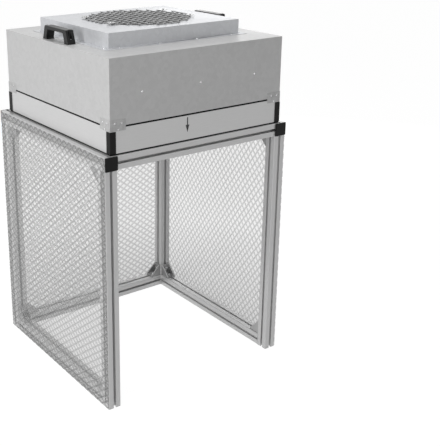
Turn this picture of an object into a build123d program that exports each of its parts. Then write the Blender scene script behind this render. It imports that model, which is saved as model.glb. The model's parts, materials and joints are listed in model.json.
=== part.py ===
from build123d import *
from math import atan2, ceil, cos, degrees, floor, hypot, radians, sin, sqrt
import os

# Laminar flow hood: a fan filter unit standing on a three-sided aluminium frame.
# Millimetres, +Z up. The origin is the middle of the frame's footprint, on the floor.
# The open side faces -Y, the closed sides are -X, +X and +Y.

os.makedirs("parts", exist_ok=True)

# ------------------------------------------------------------------ driving dimensions
# Frame of slotted aluminium sections
frame_width = 655.0
frame_depth = 640.0
frame_height = 780.0
profile = 40.0
profile_corner = 2.0
slot_opening = 8.2
slot_lip = 4.5
slot_cavity = 18.0
slot_straight = 2.5
slot_depth = 12.0
core_bore = 6.8

# Plastic caps on the ends of the side top rails
cap_thickness = 5.0
cap_edge_radius = 1.5
cap_plug_length = 12.0
cap_plug_clearance = 0.1

# Cast corner brackets with their bolts and slot nuts
bracket_leg = 42.0
bracket_width = 34.0
bracket_plate = 5.0
bracket_web = 4.0
bracket_bolt_offset = 24.0
bolt_diameter = 8.0
bolt_hole_clearance = 0.3
bolt_head_diameter = 14.0
bolt_head_height = 4.4
bolt_socket = 5.0
bolt_socket_depth = 2.6
nut_width = 16.0
nut_length = 16.0
nut_depth = 5.5
nut_straight = 2.4
nut_thread_clearance = 0.1

# Clear anti-static sheets with a laid thread grid, taped to the outside of the frame
sheet_thickness = 1.0
sheet_margin = 1.0
thread_width = 2.0
thread_height = 0.3
cell_long = 29.4
cell_short = 22.2
tape_thickness = 1.0
tape_width = 12.0
tape_inset = 2.0
cap_notch_clearance = 1.0

# Fan filter unit: outline and stack of heights
unit_width = 610.0
unit_depth = 610.0
unit_front_inset = 6.0
base_gasket_height = 4.0
base_gasket_width = 19.0
filter_height = 71.0
filter_bar = 16.0
filter_wall = 2.0
seam_gasket_height = 5.0
seam_gasket_width = 20.0
seam_gasket_inset = 1.0
housing_height = 186.0
sheet_metal = 1.2
housing_return = 24.0

# Filter pack
pleat_pitch = 14.0
pleat_crest = 12.0
pack_gap = 2.0
face_guard_thickness = 1.5
face_guard_border = 12.0
face_guard_wire = 2.0
face_guard_cells = 10

# Corner guards and clips on the filter band
corner_guard_leg = 17.6
corner_guard_height = 62.0
corner_guard_thickness = 1.6
clip_leg = 50.0
clip_height = 32.0
clip_filter_overlap = 8.0
clip_thickness = 1.0
clip_screw_inset = 14.0
clip_screw_rise = 9.0
small_screw_diameter = 3.2
small_screw_head = 6.5
small_screw_head_height = 2.0
small_screw_length = 8.0
small_screw_clearance = 0.1

# Raised inlet box
box_side_strip = 72.0
box_front_strip = 116.0
box_rear_strip = 98.0
box_height = 44.0
box_flange = 18.0
box_opening_margin = 13.0
box_screw_pitch = 134.0
box_screws_long_side = 4
box_screws_short_side = 3

# Inlet bell and wire guard
inlet_hole = 300.0
throat_diameter = 262.0
bell_depth = 48.0
bell_sheet = 1.5
bell_flange = 8.0
guard_pitch = 24.0
guard_wire = 3.0
guard_weld = 0.5
guard_reach = 162.0
guard_wire_count = 14
guard_wire_end = 6.0
washer_diameter = 26.0
washer_thickness = 1.5
guard_screw_x = 144.0
guard_screw_y = 72.0
guard_screw_diameter = 4.0
guard_screw_head = 8.0
guard_screw_head_height = 2.5
guard_screw_grip = 6.0

# Fan wheel and external-rotor motor
wheel_diameter = 380.0
wheel_eye_clearance = 2.5
wheel_height = 95.0
wheel_outlet_height = 68.0
wheel_sheet = 1.5
wheel_bell_overlap = 5.0
blade_count = 7
blade_inner_radius = 104.0
blade_edge_margin = 2.0
blade_sweep = 40.0
blade_bend = 150.0
blade_thickness = 2.0
blade_eye_setback = 7.0
blade_inner_height = 54.0
shroud_thickness = 2.0
rotor_diameter = 92.0
rotor_height = 79.0
rotor_wall = 5.0
rotor_flange_width = 16.0
rotor_flange_thickness = 3.0
rotor_screw_count = 6
rotor_dish_radius = 30.0
rotor_dish_depth = 2.0
shaft_diameter = 10.0
shaft_clearance = 0.15
shaft_stub = 6.0
bearing_diameter = 22.0
bearing_width = 7.0
stator_gap = 1.5
stator_floor_gap = 6.0
stator_top_gap = 12.0
stator_neck = 44.0
stator_flange = 110.0
stator_flange_thickness = 5.0
wheel_floor_gap = 9.0
motor_screw_count = 4
motor_screw_circle = 94.0
motor_screw_diameter = 5.0
motor_screw_head = 9.0
motor_screw_head_height = 3.0
motor_screw_length = 14.0
motor_screw_clearance = 0.1
bearing_seat_clearance = 0.05
lead_block = 10.0
lead_block_overlap = 2.0

# Deck that carries the motor, its rivets, the diffuser below it and the foam lining
deck_width = 420.0
deck_thickness = 2.0
deck_flange = 20.0
deck_rivet_pitch = 200.0
deck_rivet_rise = 8.0
rivet_diameter = 4.0
rivet_head = 6.5
rivet_head_height = 1.4
rivet_tail = 3.0
diffuser_size = 380.0
diffuser_thickness = 1.5
diffuser_drop = 46.0
diffuser_holes = 9
diffuser_hole = 26.0
diffuser_hole_pitch = 40.0
spacer_diameter = 10.0
spacer_pitch = 366.0
foam_thickness = 15.0
foam_gap = 0.3

# Handles on the end strips
handle_length = 150.0
handle_top_length = 124.0
handle_width = 26.0
handle_height = 40.0
handle_leg = 20.0
handle_grip = 10.0
handle_edge_radius = 2.5
handle_window_radius = 5.0
handle_seat = 8.0
handle_screw_diameter = 6.0
handle_screw_head = 9.6
handle_screw_head_height = 6.0
handle_screw_socket = 5.0
handle_screw_socket_depth = 3.0
handle_bore = 10.6
handle_hole_clearance = 0.3
handle_nut_width = 10.0
handle_nut_height = 5.0
handle_screw_tip = 1.0

# Controls on the rear strip
control_x = 175.0
inlet_socket_x = 235.0
controls_edge_distance = 42.0
knob_diameter = 28.0
knob_height = 16.0
knob_skirt_height = 4.0
knob_grip_diameter = 24.0
knob_lift = 0.6
knob_flutes = 12
knob_flute_radius = 1.3
knob_cap_diameter = 19.0
knob_cap_thickness = 0.8
knob_cap_proud = 0.2
knob_cap_clearance = 0.1
knob_pointer_end_gap = 0.5
knob_bore_clearance = 0.05
knob_pointer_width = 1.6
control_length = 46.0
control_width = 34.0
control_height = 26.0
bushing_diameter = 10.0
bushing_rise = 6.0
bushing_clearance = 0.2
spindle_diameter = 6.0
spindle_rise = 14.0
spindle_clearance = 0.15
spindle_seat = 12.0
control_nut_width = 14.0
control_nut_height = 2.4
socket_flange_x = 31.0
socket_flange_y = 40.0
socket_flange_height = 2.5
socket_corner = 2.0
socket_body_x = 27.0
socket_body_y = 36.0
socket_body_depth = 30.0
socket_fit = 0.2
socket_recess_x = 24.0
socket_recess_y = 16.4
socket_recess_depth = 16.0
socket_recess_shift = 7.0
socket_pin_pitch = 7.0
socket_pin_x = 2.0
socket_pin_y = 4.0
socket_pin_length = 13.0
socket_earth_shift = 4.0
fuse_x = 22.0
fuse_y = 11.0
fuse_depth = 18.0
fuse_rise = 0.8
fuse_shift = 10.5
fuse_slot_length = 12.0
fuse_slot_width = 1.6

# Capacitor and internal leads
capacitor_diameter = 36.0
capacitor_height = 62.0
capacitor_edge_radius = 2.0
capacitor_side_inset = 50.0
capacitor_rear_inset = 81.0
capacitor_stud_diameter = 8.0
capacitor_stud_length = 12.0
capacitor_nut_width = 13.0
capacitor_nut_height = 6.0
lead_diameter = 6.0
motor_lead_bends = [18.0, 36.0, 60.0]
mains_lead_drop = 42.0
mains_lead_bend = 18.0
motor_lead_x = 105.0
motor_lead_turn_y = 150.0

# ------------------------------------------------------------------ derived places
half_width = frame_width / 2
half_depth = frame_depth / 2
post_x = half_width - profile / 2
post_y = half_depth - profile / 2
post_height = frame_height - profile
inner_x = half_width - profile
inner_y = half_depth - profile
rail_z = profile / 2
top_rail_z = frame_height - profile / 2

unit_y = -half_depth + unit_front_inset + unit_depth / 2
unit_front = unit_y - unit_depth / 2
unit_rear = unit_y + unit_depth / 2
filter_bottom = frame_height + base_gasket_height
filter_top = filter_bottom + filter_height
housing_bottom = filter_top + seam_gasket_height
housing_top = housing_bottom + housing_height
box_top = housing_top + box_height
box_width = unit_width - 2 * box_side_strip
box_depth = unit_depth - box_front_strip - box_rear_strip
fan_y = unit_front + box_front_strip + box_depth / 2

box_screw_x = (box_screws_long_side - 1) / 2 * box_screw_pitch
box_flange_mid_x = box_width / 2 + box_flange / 2
box_flange_mid_y = box_depth / 2 + box_flange / 2

bell_top = box_top - sheet_metal
bell_bottom = bell_top - bell_depth
wheel_top = bell_bottom + wheel_bell_overlap
wheel_bottom = wheel_top - wheel_height
wheel_floor = wheel_bottom + wheel_sheet
wheel_eye = throat_diameter / 2 + bell_sheet + wheel_eye_clearance
rotor_bottom = wheel_floor
rotor_top = rotor_bottom + rotor_height
rotor_inner = rotor_diameter / 2 - rotor_wall
deck_top = wheel_bottom - wheel_floor_gap - stator_flange_thickness
deck_bottom = deck_top - deck_thickness
stator_core_bottom = rotor_bottom + stator_floor_gap
stator_core_top = rotor_top - rotor_wall - stator_top_gap
shaft_bottom = stator_core_bottom - stator_floor_gap - shaft_stub
rivet_z = deck_top + deck_rivet_rise
capacitor_x = -deck_width / 2 + capacitor_side_inset
capacitor_y = unit_rear - capacitor_rear_inset
rotor_screw_radius = rotor_diameter / 2 + rotor_flange_width / 2

clip_bottom = filter_top - clip_filter_overlap
clip_screw_low = clip_bottom + clip_filter_overlap / 2
clip_screw_high = housing_bottom + clip_screw_rise
strip_x = unit_width / 2 - (box_side_strip - box_flange) / 2
handle_hole_y = handle_length / 2 - handle_leg / 2
control_y = unit_rear - controls_edge_distance
controls_underside = housing_top - sheet_metal


# ------------------------------------------------------------------ shared sections
def slotted_section(plane):
    """Square section with a T-slot in each face and a bored core."""
    half = profile / 2
    throat = half - slot_lip
    shoulder = throat - slot_straight
    slot_floor = half - slot_depth
    floor_half = slot_cavity / 2 - (shoulder - slot_floor)
    with BuildSketch(plane) as section:
        RectangleRounded(profile, profile, profile_corner)
        Circle(core_bore / 2, mode=Mode.SUBTRACT)
        with PolarLocations(0, 4):
            Polygon(
                (half, -slot_opening / 2),
                (half, slot_opening / 2),
                (throat, slot_opening / 2),
                (throat, slot_cavity / 2),
                (shoulder, slot_cavity / 2),
                (slot_floor, floor_half),
                (slot_floor, -floor_half),
                (shoulder, -slot_cavity / 2),
                (throat, -slot_cavity / 2),
                (throat, -slot_opening / 2),
                align=None,
                mode=Mode.SUBTRACT,
            )
    return section.sketch


def rectangle_ring(plane, width, depth, border):
    """Flat rectangular ring of one border width."""
    with BuildSketch(plane) as ring:
        Rectangle(width, depth)
        Rectangle(width - 2 * border, depth - 2 * border, mode=Mode.SUBTRACT)
    return ring.sketch


def disc(plane, diameter):
    """Round section on a plane."""
    with BuildSketch(plane) as face:
        Circle(diameter / 2)
    return face.sketch


def revolved_section(points):
    """Closed outline of radius and height, on the fan's upright plane."""
    with BuildSketch(Plane(origin=(0, fan_y, 0), x_dir=(1, 0, 0), z_dir=(0, -1, 0))) as face:
        Polygon(*points, align=None)
    return face.sketch


fan_axis = Axis((0, fan_y, 0), (0, 0, 1))
fan_plane = Plane(origin=(0, fan_y, 0))
unit_plane = Plane(origin=(0, unit_y, 0))

# ------------------------------------------------------------------ frame: posts
post_places = {
    "front_left": (-post_x, -post_y),
    "front_right": (post_x, -post_y),
    "rear_left": (-post_x, post_y),
    "rear_right": (post_x, post_y),
}
for place, (x, y) in post_places.items():
    with BuildPart() as post:
        extrude(slotted_section(Plane(origin=(x, y, 0))), amount=post_height)
    post.part.label = f"post_{place}"
    export_step(post.part, f"parts/post_{place}.step")

# ------------------------------------------------------------------ frame: rails
for side, x in {"left": -post_x, "right": post_x}.items():
    with BuildPart() as side_top_rail:
        start = Plane(origin=(x, -half_depth, top_rail_z), x_dir=(1, 0, 0), z_dir=(0, 1, 0))
        extrude(slotted_section(start), amount=frame_depth)
    side_top_rail.part.label = f"top_rail_{side}"
    export_step(side_top_rail.part, f"parts/top_rail_{side}.step")

    with BuildPart() as side_bottom_rail:
        start = Plane(origin=(x, -inner_y, rail_z), x_dir=(1, 0, 0), z_dir=(0, 1, 0))
        extrude(slotted_section(start), amount=2 * inner_y)
    side_bottom_rail.part.label = f"bottom_rail_{side}"
    export_step(side_bottom_rail.part, f"parts/bottom_rail_{side}.step")

cross_rails = {
    "top_rail_front": (-post_y, top_rail_z),
    "top_rail_rear": (post_y, top_rail_z),
    "bottom_rail_rear": (post_y, rail_z),
}
for name, (y, z) in cross_rails.items():
    with BuildPart() as cross_rail:
        start = Plane(origin=(-inner_x, y, z), x_dir=(0, 1, 0), z_dir=(1, 0, 0))
        extrude(slotted_section(start), amount=2 * inner_x)
    cross_rail.part.label = name
    export_step(cross_rail.part, f"parts/{name}.step")

# ------------------------------------------------------------------ frame: end caps
# A cap is drawn once: its seat is Z = 0, its face points along +Z and its plug along -Z.
with BuildPart() as cap:
    with BuildSketch():
        RectangleRounded(profile, profile, profile_corner)
    extrude(amount=cap_thickness)
    fillet(cap.faces().sort_by(Axis.Z)[-1].edges(), cap_edge_radius)
    extrude(disc(Plane.XY, core_bore - 2 * cap_plug_clearance), amount=-cap_plug_length)

with BuildPart() as end_caps:
    for x, y in post_places.values():
        outward = 1 if y > 0 else -1
        rail_end = (x, outward * half_depth, top_rail_z)
        with Locations(Plane(origin=rail_end, x_dir=(1, 0, 0), z_dir=(0, outward, 0))):
            add(cap.part)
end_caps.part.label = "end_caps"
export_step(end_caps.part, "parts/end_caps.step")

# ------------------------------------------------------------------ frame: corner brackets
# A bracket is drawn once: its legs run along +X and +Y from the inside corner, its width along Z.
with BuildPart() as bracket:
    with BuildSketch():
        Polygon(
            (0, 0),
            (bracket_leg, 0),
            (bracket_leg, bracket_plate),
            (bracket_plate, bracket_plate),
            (bracket_plate, bracket_leg),
            (0, bracket_leg),
            align=None,
        )
    extrude(amount=bracket_width / 2, both=True)
    for web_start in (-bracket_width / 2, bracket_width / 2 - bracket_web):
        with BuildSketch(Plane.XY.offset(web_start)):
            Polygon(
                (bracket_plate, bracket_plate),
                (bracket_leg, bracket_plate),
                (bracket_plate, bracket_leg),
                align=None,
            )
        extrude(amount=bracket_web)
    hole = bolt_diameter + 2 * bolt_hole_clearance
    first_hole = Plane(origin=(bracket_bolt_offset, 0, 0), x_dir=(1, 0, 0), z_dir=(0, 1, 0))
    extrude(disc(first_hole, hole), amount=bracket_plate, mode=Mode.SUBTRACT)
    second_hole = Plane(origin=(0, bracket_bolt_offset, 0), x_dir=(0, 1, 0), z_dir=(1, 0, 0))
    extrude(disc(second_hole, hole), amount=bracket_plate, mode=Mode.SUBTRACT)


def corner_plane(corner, along, up):
    """Place of one bracket: the inside corner and the directions of its two legs."""
    return Plane(origin=corner, x_dir=along, z_dir=Vector(*along).cross(Vector(*up)))


lower_corners = []
upper_corners = []
rail_corners = []
for x_sign in (-1, 1):
    for y_sign in (-1, 1):
        beside_post = (x_sign * post_x, y_sign * inner_y)
        lower_corners.append(corner_plane((*beside_post, profile), (0, -y_sign, 0), (0, 0, 1)))
        upper_corners.append(corner_plane((*beside_post, post_height), (0, -y_sign, 0), (0, 0, -1)))
        between_rails = (x_sign * inner_x, y_sign * inner_y, top_rail_z)
        rail_corners.append(corner_plane(between_rails, (-x_sign, 0, 0), (0, -y_sign, 0)))
    rear_corner = (x_sign * inner_x, post_y, profile)
    lower_corners.append(corner_plane(rear_corner, (-x_sign, 0, 0), (0, 0, 1)))

bracket_groups = {
    "lower_brackets": lower_corners,
    "upper_brackets": upper_corners,
    "rail_brackets": rail_corners,
}
for name, corners in bracket_groups.items():
    with BuildPart() as bracket_group:
        with Locations(*corners):
            add(bracket.part)
    bracket_group.part.label = name
    export_step(bracket_group.part, f"parts/{name}.step")

# Bolts and nuts stand on the slot of a face: local +Z points out of the face, local X along the slot.
with BuildPart() as bolt:
    extrude(disc(Plane.XY.offset(bracket_plate), bolt_head_diameter), amount=bolt_head_height)
    fillet(bolt.edges().filter_by(GeomType.CIRCLE).sort_by(Axis.Z)[-1], bolt_head_height / 3)
    shank = bracket_plate + slot_lip + nut_depth
    extrude(disc(Plane.XY.offset(bracket_plate), bolt_diameter), amount=-shank)
    with BuildSketch(Plane.XY.offset(bracket_plate + bolt_head_height)):
        RegularPolygon(bolt_socket / 2, 6, major_radius=False)
    extrude(amount=-bolt_socket_depth, mode=Mode.SUBTRACT)

with BuildPart() as slot_nut:
    nut_top = -slot_lip
    nut_taper = nut_depth - nut_straight
    with BuildSketch(Plane(origin=(-nut_length / 2, 0, 0), x_dir=(0, 1, 0), z_dir=(1, 0, 0))):
        Polygon(
            (-nut_width / 2, nut_top),
            (nut_width / 2, nut_top),
            (nut_width / 2, nut_top - nut_straight),
            (nut_width / 2 - nut_taper, nut_top - nut_depth),
            (-nut_width / 2 + nut_taper, nut_top - nut_depth),
            (-nut_width / 2, nut_top - nut_straight),
            align=None,
        )
    extrude(amount=nut_length)
    extrude(disc(Plane.XY, bolt_diameter + 2 * nut_thread_clearance), amount=-slot_depth, mode=Mode.SUBTRACT)

fixing_planes = []
for corner in lower_corners + upper_corners + rail_corners:
    along = corner.x_dir
    up = corner.y_dir
    on_first_leg = corner.origin + along * bracket_bolt_offset
    on_second_leg = corner.origin + up * bracket_bolt_offset
    fixing_planes.append(Plane(origin=on_first_leg, x_dir=along, z_dir=up))
    fixing_planes.append(Plane(origin=on_second_leg, x_dir=up, z_dir=along))

with BuildPart() as bracket_bolts:
    with Locations(*fixing_planes):
        add(bolt.part)
bracket_bolts.part.label = "bracket_bolts"
export_step(bracket_bolts.part, "parts/bracket_bolts.step")

with BuildPart() as slot_nuts:
    with Locations(*fixing_planes):
        add(slot_nut.part)
slot_nuts.part.label = "slot_nuts"
export_step(slot_nuts.part, "parts/slot_nuts.step")

# ------------------------------------------------------------------ clear sheets and their tape
cell_diagonal = hypot(cell_long, cell_short)
thread_spacing = cell_long * cell_short / cell_diagonal


def sheet_points(width, notch, inset):
    """Corners of a sheet standing on its plane's X axis; a notch clears each end cap."""
    half = width / 2 - inset
    low = inset
    high = frame_height - inset
    if notch == 0:
        return [(-half, low), (half, low), (half, high), (-half, high)]
    step_x = half - notch
    step_z = high - notch
    return [
        (-half, low),
        (half, low),
        (half, step_z),
        (step_x, step_z),
        (step_x, high),
        (-step_x, high),
        (-step_x, step_z),
        (-half, step_z),
    ]


def threads(plane, width, angle, limit):
    """Parallel threads at one angle across a sheet, cut to the limit's corners."""
    reach = width * abs(sin(radians(angle))) + frame_height * abs(cos(radians(angle)))
    count = 2 * ceil(reach / thread_spacing / 2) + 1
    with BuildSketch(plane) as lines:
        with Locations(Location((0, frame_height / 2, 0), (0, 0, angle))):
            with GridLocations(thread_spacing, thread_spacing, 1, count):
                Rectangle(width + frame_height, thread_width)
        Polygon(*limit, align=None, mode=Mode.INTERSECT)
    return lines.sketch


rear_notch = profile + cap_notch_clearance
flat_angle = degrees(atan2(cell_short, cell_long))
steep_angle = degrees(atan2(cell_long, cell_short))
sheet_places = {
    "left": ((-half_width, 0, 0), (0, -1, 0), (-1, 0, 0), frame_depth, 0, flat_angle),
    "right": ((half_width, 0, 0), (0, 1, 0), (1, 0, 0), frame_depth, 0, steep_angle),
    "rear": ((0, half_depth, 0), (-1, 0, 0), (0, 1, 0), frame_width, rear_notch, flat_angle),
}
tape_inner = tape_inset + tape_width
with BuildPart() as panel_tape:
    for origin, across, outward, width, notch, angle in sheet_places.values():
        with BuildSketch(Plane(origin=origin, x_dir=across, z_dir=outward)) as tape_ring:
            Polygon(*sheet_points(width, notch, tape_inset), align=None)
            Polygon(*sheet_points(width, notch, tape_inner), align=None, mode=Mode.SUBTRACT)
        extrude(tape_ring.sketch, amount=tape_thickness)
panel_tape.part.label = "panel_tape"
export_step(panel_tape.part, "parts/panel_tape.step")

for side, (origin, across, outward, width, notch, angle) in sheet_places.items():
    inner_face = Plane(origin=origin, x_dir=across, z_dir=outward).offset(tape_thickness)
    outer_face = inner_face.offset(sheet_thickness)
    sheet_limit = sheet_points(width, notch, sheet_margin)
    free_limit = sheet_points(width, notch, tape_inner + thread_width)
    with BuildPart() as panel:
        with BuildSketch(inner_face):
            Polygon(*sheet_limit, align=None)
        extrude(amount=sheet_thickness)
        extrude(threads(outer_face, width, angle, sheet_limit), amount=thread_height)
        extrude(threads(inner_face, width, -angle, free_limit), amount=-thread_height)
    panel.part.label = f"panel_{side}"
    export_step(panel.part, f"parts/panel_{side}.step")

# ------------------------------------------------------------------ filter section
with BuildPart() as base_gasket:
    gasket_plane = unit_plane.offset(frame_height)
    gasket_ring = rectangle_ring(gasket_plane, unit_width, unit_depth, base_gasket_width)
    extrude(gasket_ring, amount=base_gasket_height)
base_gasket.part.label = "base_gasket"
export_step(base_gasket.part, "parts/base_gasket.step")

screw_hole = small_screw_diameter + 2 * small_screw_clearance
clip_screw_spots = []
for x_sign in (-1, 1):
    for y_sign in (-1, 1):
        near = clip_screw_inset
        far = clip_leg - clip_screw_inset
        for distance, z in ((near, clip_screw_high), (far, clip_screw_high), (clip_leg / 2, clip_screw_low)):
            on_x_face = (x_sign * unit_width / 2, unit_y + y_sign * (unit_depth / 2 - distance), z)
            on_y_face = (x_sign * (unit_width / 2 - distance), unit_y + y_sign * unit_depth / 2, z)
            clip_screw_spots.append(Plane(origin=on_x_face, x_dir=(0, 0, 1), z_dir=(x_sign, 0, 0)))
            clip_screw_spots.append(Plane(origin=on_y_face, x_dir=(0, 0, 1), z_dir=(0, y_sign, 0)))


def drill_clip_holes(depth):
    """Pilot holes for the clip screws, from the outer faces inward."""
    for spot in clip_screw_spots:
        extrude(disc(spot, screw_hole), amount=-depth, mode=Mode.SUBTRACT)


with BuildPart() as filter_frame:
    extrude(
        rectangle_ring(unit_plane.offset(filter_bottom), unit_width, unit_depth, filter_bar),
        amount=filter_height,
    )
    channel_plane = unit_plane.offset(filter_bottom + filter_wall)
    channel = rectangle_ring(
        channel_plane, unit_width - 2 * filter_wall, unit_depth - 2 * filter_wall, filter_bar
    )
    extrude(channel, amount=filter_height - 2 * filter_wall, mode=Mode.SUBTRACT)
    drill_clip_holes(filter_wall)
filter_frame.part.label = "filter_frame"
export_step(filter_frame.part, "parts/filter_frame.step")

channel_bottom = filter_bottom + filter_wall
channel_top = filter_top - filter_wall
sealant_outer_x = unit_width - 2 * filter_wall
sealant_outer_y = unit_depth - 2 * filter_wall
sealant_bottom = channel_bottom + face_guard_thickness
sealant_band = filter_bar - filter_wall
with BuildPart() as filter_sealant:
    extrude(
        rectangle_ring(unit_plane.offset(sealant_bottom), sealant_outer_x, sealant_outer_y, sealant_band),
        amount=channel_top - sealant_bottom,
    )
    for spot in clip_screw_spots:
        extrude(disc(spot, screw_hole), amount=-small_screw_length, mode=Mode.SUBTRACT)
filter_sealant.part.label = "filter_sealant"
export_step(filter_sealant.part, "parts/filter_sealant.step")

pack_width = sealant_outer_x - 2 * sealant_band
pack_depth = sealant_outer_y - 2 * sealant_band
pack_bottom = sealant_bottom + pack_gap
pack_top = channel_top - pack_gap
pleat_count = floor(pack_width / pleat_pitch)
with BuildPart() as filter_media:
    pack_front = Plane(origin=(0, unit_y - pack_depth / 2, 0), x_dir=(1, 0, 0), z_dir=(0, -1, 0))
    with BuildSketch(pack_front):
        pleats = []
        for k in range(2 * pleat_count + 1):
            x = -pack_width / 2 + k * pack_width / (2 * pleat_count)
            pleats.append((x, pack_top if k % 2 == 0 else pack_bottom + pleat_crest))
        for x, z in reversed(pleats):
            pleats.append((x, z - pleat_crest))
        Polygon(*pleats, align=None)
    extrude(amount=-pack_depth)
filter_media.part.label = "filter_media"
export_step(filter_media.part, "parts/filter_media.step")

with BuildPart() as filter_face_guard:
    guard_x = sealant_outer_x
    guard_y = sealant_outer_y
    cell_x = (unit_width - 2 * filter_bar - 2 * face_guard_border) / face_guard_cells
    cell_y = (unit_depth - 2 * filter_bar - 2 * face_guard_border) / face_guard_cells
    with BuildSketch(unit_plane.offset(channel_bottom)):
        Rectangle(guard_x, guard_y)
        with GridLocations(cell_x, cell_y, face_guard_cells, face_guard_cells):
            Rectangle(cell_x - face_guard_wire, cell_y - face_guard_wire, mode=Mode.SUBTRACT)
    extrude(amount=face_guard_thickness)
filter_face_guard.part.label = "filter_face_guard"
export_step(filter_face_guard.part, "parts/filter_face_guard.step")

with BuildPart() as seam_gasket:
    extrude(
        rectangle_ring(
            unit_plane.offset(filter_top),
            unit_width - 2 * seam_gasket_inset,
            unit_depth - 2 * seam_gasket_inset,
            seam_gasket_width,
        ),
        amount=seam_gasket_height,
    )
seam_gasket.part.label = "seam_gasket"
export_step(seam_gasket.part, "parts/seam_gasket.step")


def corner_angles(bottom, height, leg, thickness):
    """Four upright angle strips wrapped around the unit's corners."""
    for x_sign in (-1, 1):
        for y_sign in (-1, 1):
            corner_x = x_sign * unit_width / 2
            corner_y = unit_y + y_sign * unit_depth / 2
            with BuildSketch(Plane(origin=(corner_x, corner_y, bottom))) as angle_section:
                Polygon(
                    (x_sign * thickness, y_sign * thickness),
                    (-x_sign * leg, y_sign * thickness),
                    (-x_sign * leg, 0),
                    (0, 0),
                    (0, -y_sign * leg),
                    (x_sign * thickness, -y_sign * leg),
                    align=None,
                )
            extrude(angle_section.sketch, amount=height)


with BuildPart() as corner_guards:
    corner_angles(filter_bottom, corner_guard_height, corner_guard_leg, corner_guard_thickness)
corner_guards.part.label = "corner_guards"
export_step(corner_guards.part, "parts/corner_guards.step")

with BuildPart() as filter_clips:
    corner_angles(clip_bottom, clip_height, clip_leg, clip_thickness)
    for spot in clip_screw_spots:
        extrude(disc(spot, screw_hole), amount=clip_thickness, mode=Mode.SUBTRACT)
filter_clips.part.label = "filter_clips"
export_step(filter_clips.part, "parts/filter_clips.step")

# A small sheet-metal screw; local Z = 0 is the face under its head.
with BuildPart() as small_screw:
    extrude(disc(Plane.XY, small_screw_head), amount=small_screw_head_height)
    fillet(small_screw.edges().sort_by(Axis.Z)[-1], small_screw_head_height / 2)
    extrude(disc(Plane.XY, small_screw_diameter), amount=-small_screw_length)

with BuildPart() as clip_screws:
    with Locations(*[spot.offset(clip_thickness) for spot in clip_screw_spots]):
        add(small_screw.part)
clip_screws.part.label = "clip_screws"
export_step(clip_screws.part, "parts/clip_screws.step")

# ------------------------------------------------------------------ fan housing and inlet box
box_screw_spots = []
for x in [-box_screw_x + k * box_screw_pitch for k in range(box_screws_long_side)]:
    for y_sign in (-1, 1):
        box_screw_spots.append((x, fan_y + y_sign * box_flange_mid_y))
side_pitch = (box_depth - box_flange) / (box_screws_short_side - 1)
for k in range(box_screws_short_side):
    for x_sign in (-1, 1):
        y = fan_y - (box_depth - box_flange) / 2 + k * side_pitch
        box_screw_spots.append((x_sign * box_flange_mid_x, y))

rivet_spots = []
for x in (-deck_rivet_pitch, 0, deck_rivet_pitch):
    rivet_spots.append(Plane(origin=(x, unit_front, rivet_z), x_dir=(1, 0, 0), z_dir=(0, -1, 0)))
    rivet_spots.append(Plane(origin=(x, unit_rear, rivet_z), x_dir=(1, 0, 0), z_dir=(0, 1, 0)))

handle_screw_spots = []
for x_sign in (-1, 1):
    for y_sign in (-1, 1):
        handle_screw_spots.append((x_sign * strip_x, fan_y + y_sign * handle_hole_y))

opening_width = box_width - 2 * box_opening_margin
opening_depth = box_depth - 2 * box_opening_margin
inside_width = unit_width - 2 * sheet_metal
inside_depth = unit_depth - 2 * sheet_metal
with BuildPart() as fan_housing:
    with BuildSketch(unit_plane.offset(housing_bottom)):
        Rectangle(unit_width, unit_depth)
    extrude(amount=housing_height)
    with BuildSketch(unit_plane.offset(housing_bottom + sheet_metal)):
        Rectangle(inside_width, inside_depth)
    extrude(amount=housing_height - 2 * sheet_metal, mode=Mode.SUBTRACT)
    with BuildSketch(unit_plane.offset(housing_bottom)):
        Rectangle(unit_width - 2 * housing_return, unit_depth - 2 * housing_return)
    extrude(amount=sheet_metal, mode=Mode.SUBTRACT)
    with BuildSketch(fan_plane.offset(controls_underside)):
        Rectangle(opening_width, opening_depth)
    extrude(amount=sheet_metal, mode=Mode.SUBTRACT)
    with BuildSketch(Plane.XY.offset(controls_underside)):
        with Locations(*box_screw_spots):
            Circle(screw_hole / 2)
        with Locations(*handle_screw_spots):
            Circle(handle_screw_diameter / 2 + handle_hole_clearance)
        with Locations((control_x, control_y)):
            Circle(bushing_diameter / 2 + bushing_clearance)
        with Locations((inlet_socket_x, control_y)):
            Rectangle(socket_body_x + 2 * socket_fit, socket_body_y + 2 * socket_fit)
    extrude(amount=sheet_metal, mode=Mode.SUBTRACT)
    for spot in clip_screw_spots:
        extrude(disc(spot, screw_hole), amount=-sheet_metal, mode=Mode.SUBTRACT)
    for spot in rivet_spots:
        rivet_hole = disc(spot, rivet_diameter + 2 * small_screw_clearance)
        extrude(rivet_hole, amount=-sheet_metal, mode=Mode.SUBTRACT)
fan_housing.part.label = "fan_housing"
export_step(fan_housing.part, "parts/fan_housing.step")

guard_screw_spots = []
for x_sign in (-1, 1):
    for y_sign in (-1, 1):
        guard_screw_spots.append((x_sign * guard_screw_x, fan_y + y_sign * guard_screw_y))

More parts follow.
